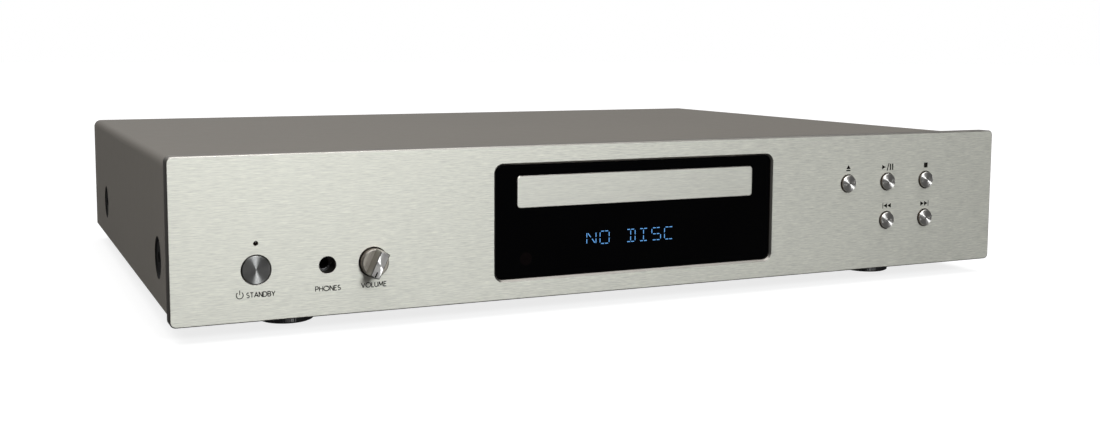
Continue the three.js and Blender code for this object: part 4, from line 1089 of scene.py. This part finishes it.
def inlet_socket():
    """A three-pin appliance inlet: a snap-in flange, a deep mouth with two cut corners, and flat pins."""
    x, z = INLET
    (_, d0, _), (_, d1, _) = span("mains_inlet")
    form = Form()
    mouth = [(x - 12.2, z - 8), (x + 12.2, z - 8), (x + 12.2, z + 4.5), (x + 8.5, z + 8), (x - 8.5, z + 8)]
    mouth.append((x - 12.2, z + 4.5))
    flange = rounded(x - 15.5, z - 11.8, x + 15.5, z + 11.8, 2.5, 8)
    form.plate("y", (flange, wall(d1, FLANGE, 0.7, 0.1, 4)), (mouth, wall(d1, FLANGE, 0.5, 0, 3, hole=True)))
    inside = rounded(x - 13.6, z - 9.8, x + 13.6, z + 9.8, 1.2, 5)
    form.plate("y", (inside, wall(311.8, d0, 0, 0.5, 2)), (mouth, [(0, 311.8), (0, 297)], True))
    form.paint = 1
    for dx, dz in ((-7, -2), (7, -2), (0, 2.4)):
        pin = rounded(x + dx - 1, z + dz - 2, x + dx + 1, z + dz + 2, 0.3, 3)
        form.plate("y", (pin, wall(311, 296, 0.6, 0, 3)))
    form.piece("power_inlet", "case", "black_plastic", "plastic", "nickel", replaces="mains_inlet", sharp=40)


inlet_socket()


def switch_body():
    """A snap-in frame round the opening that the rocker fills."""
    x, z = SWITCH
    (_, d0, _), (_, d1, _) = span("power_switch")
    form = Form()
    flange = rounded(x - 7.6, z - 10.8, x + 7.6, z + 10.8, 1.2, 6)
    window = rounded(x - 4.9, z - 8.6, x + 4.9, z + 8.6, 0.5, 3)
    form.plate("y", (flange, wall(d1, FLANGE, 0.5, 0.1, 4)), (window, wall(d1, FLANGE, 0.3, 0, 3, hole=True)))
    inside = rounded(x - 6.3, z - 9.5, x + 6.3, z + 9.5, 0.8, 4)
    form.plate("y", (inside, wall(311.8, d0, 0, 0.4, 2)), (window, [(0, 311.8), (0, 297)], True))
    form.piece("switch_body", "case", "black_plastic", "plastic", replaces="power_switch", sharp=40)


switch_body()


def rocker_cap():
    """A rocker with a dished face and two raised marks, drawn level and turned about its pivot."""
    x, z = SWITCH
    pivot, half, crown, dip, tilt = 305, 6.75, 9.25, 1.05, 9
    side_view = [(4, 6.6), (-4, 3), (-4, -3), (4, -6.6), (crown, -half)]
    for k in range(1, 12):
        a = math.pi * k / 12
        side_view.append((crown - dip * math.sin(a), half * -math.cos(a)))
    side_view.append((crown, half))
    form = Form()
    form.plate("x", ([(pivot + u, z + v) for u, v in side_view], wall(x - 4.5, x + 4.5, 0.3, 0.3, 3)))
    form.paint = 1
    mark = 4.3
    face = pivot + crown - dip * math.sin(math.acos(mark / half))
    depth = [(0, face + 0.35), (0, face - 0.4)]
    on = rounded(x - 0.25, z + mark - 1.6, x + 0.25, z + mark + 1.6, 0.15, 2)
    form.plate("y", (on, depth))
    rim, hole = (circle(x, z - mark, r, 28) for r in (1.75, 1.25))
    form.plate("y", (rim, depth), (hole, depth))
    form.piece(
        "rocker_cap", "rocker", "gloss_black", "gloss", "white_plastic",
        replaces="power_rocker", at=(x, pivot, z), turn=(tilt, "X"), sharp=36,
    )


rocker_cap()


def pan_screw(name, x, z):
    """A small cross-recessed pan head screw in the back panel."""
    form = Form()
    face = rear_d1 + 1.5
    arm, width = 1.35, 0.38
    cross = []
    for k in range(4):
        c, s = math.cos(k * TAU / 4), math.sin(k * TAU / 4)
        for u, v in ((arm, -width), (arm, width), (width, width)):
            cross.append((x + u * c - v * s, z + u * s + v * c))
    rim = circle(x, z, 2.75, 36)
    dome = [(-0.9, face), (-0.45, face - 0.1), (-0.12, face - 0.4), (0, face - 0.9), (0, rear_d1)]
    form.plate("y", (rim, dome), (cross, [(0, face), (-0.1, face - 0.7)], True))
    form.piece(name, "case", "black_steel", "screw")


for name, x, z in (
    ("socket_screw_phono", 123, 33),
    ("socket_screw_coaxial", 147.6, 33),
    ("socket_screw_optical", 184, 38.6),
):
    pan_screw(name, x, z)


def back_print():
    """Plain words by the sockets, in white, readable from behind."""
    ink = Print(rear_d1, 0.03, side=-1)
    for text, x, z in (
        ("L", PHONO_LEFT[0], 42),
        ("R", PHONO_RIGHT[0], 42),
        ("ANALOG OUT", 123, 21.2),
        ("COAXIAL", COAX[0], 42),
        ("OPTICAL", OPTICAL[0], 42.6),
        ("DIGITAL OUT", 172, 15.6),
        ("POWER", SWITCH[0], 45.5),
    ):
        half = word_length(text) * 1.9 / 2
        ink.word(text, -x - half, -x + half, z, 2.2, 0.28)
    ink.form.piece("back_marks", "case", "white_plastic", "white_ink")


back_print()

# ---------------------------------------------------------------- floor and finish

FLOOR_R = 9000
floor_form = Form()
floor_form.cap(floor_form.ring("z", circle(0, 0, FLOOR_R, 96), 0))
floor_mesh = bpy.data.meshes.new("floor")
floor_form.bm.to_mesh(floor_mesh)
floor_mesh.transform(Matrix.Scale(MM, 4))
floor = linked(bpy.data.objects.new("floor", floor_mesh))
floor_paint = Shader("floor", (0.3, 0.3, 0.3), 0.75, Emission_Color=(1, 1, 1, 1), Emission_Strength=0.8)
floor_mesh.materials.append(floor_paint.grain(6, 0.004, 0.02).done())
floor.visible_glossy = False  # polished metal mirrors the studio round it, not the sheet it stands on
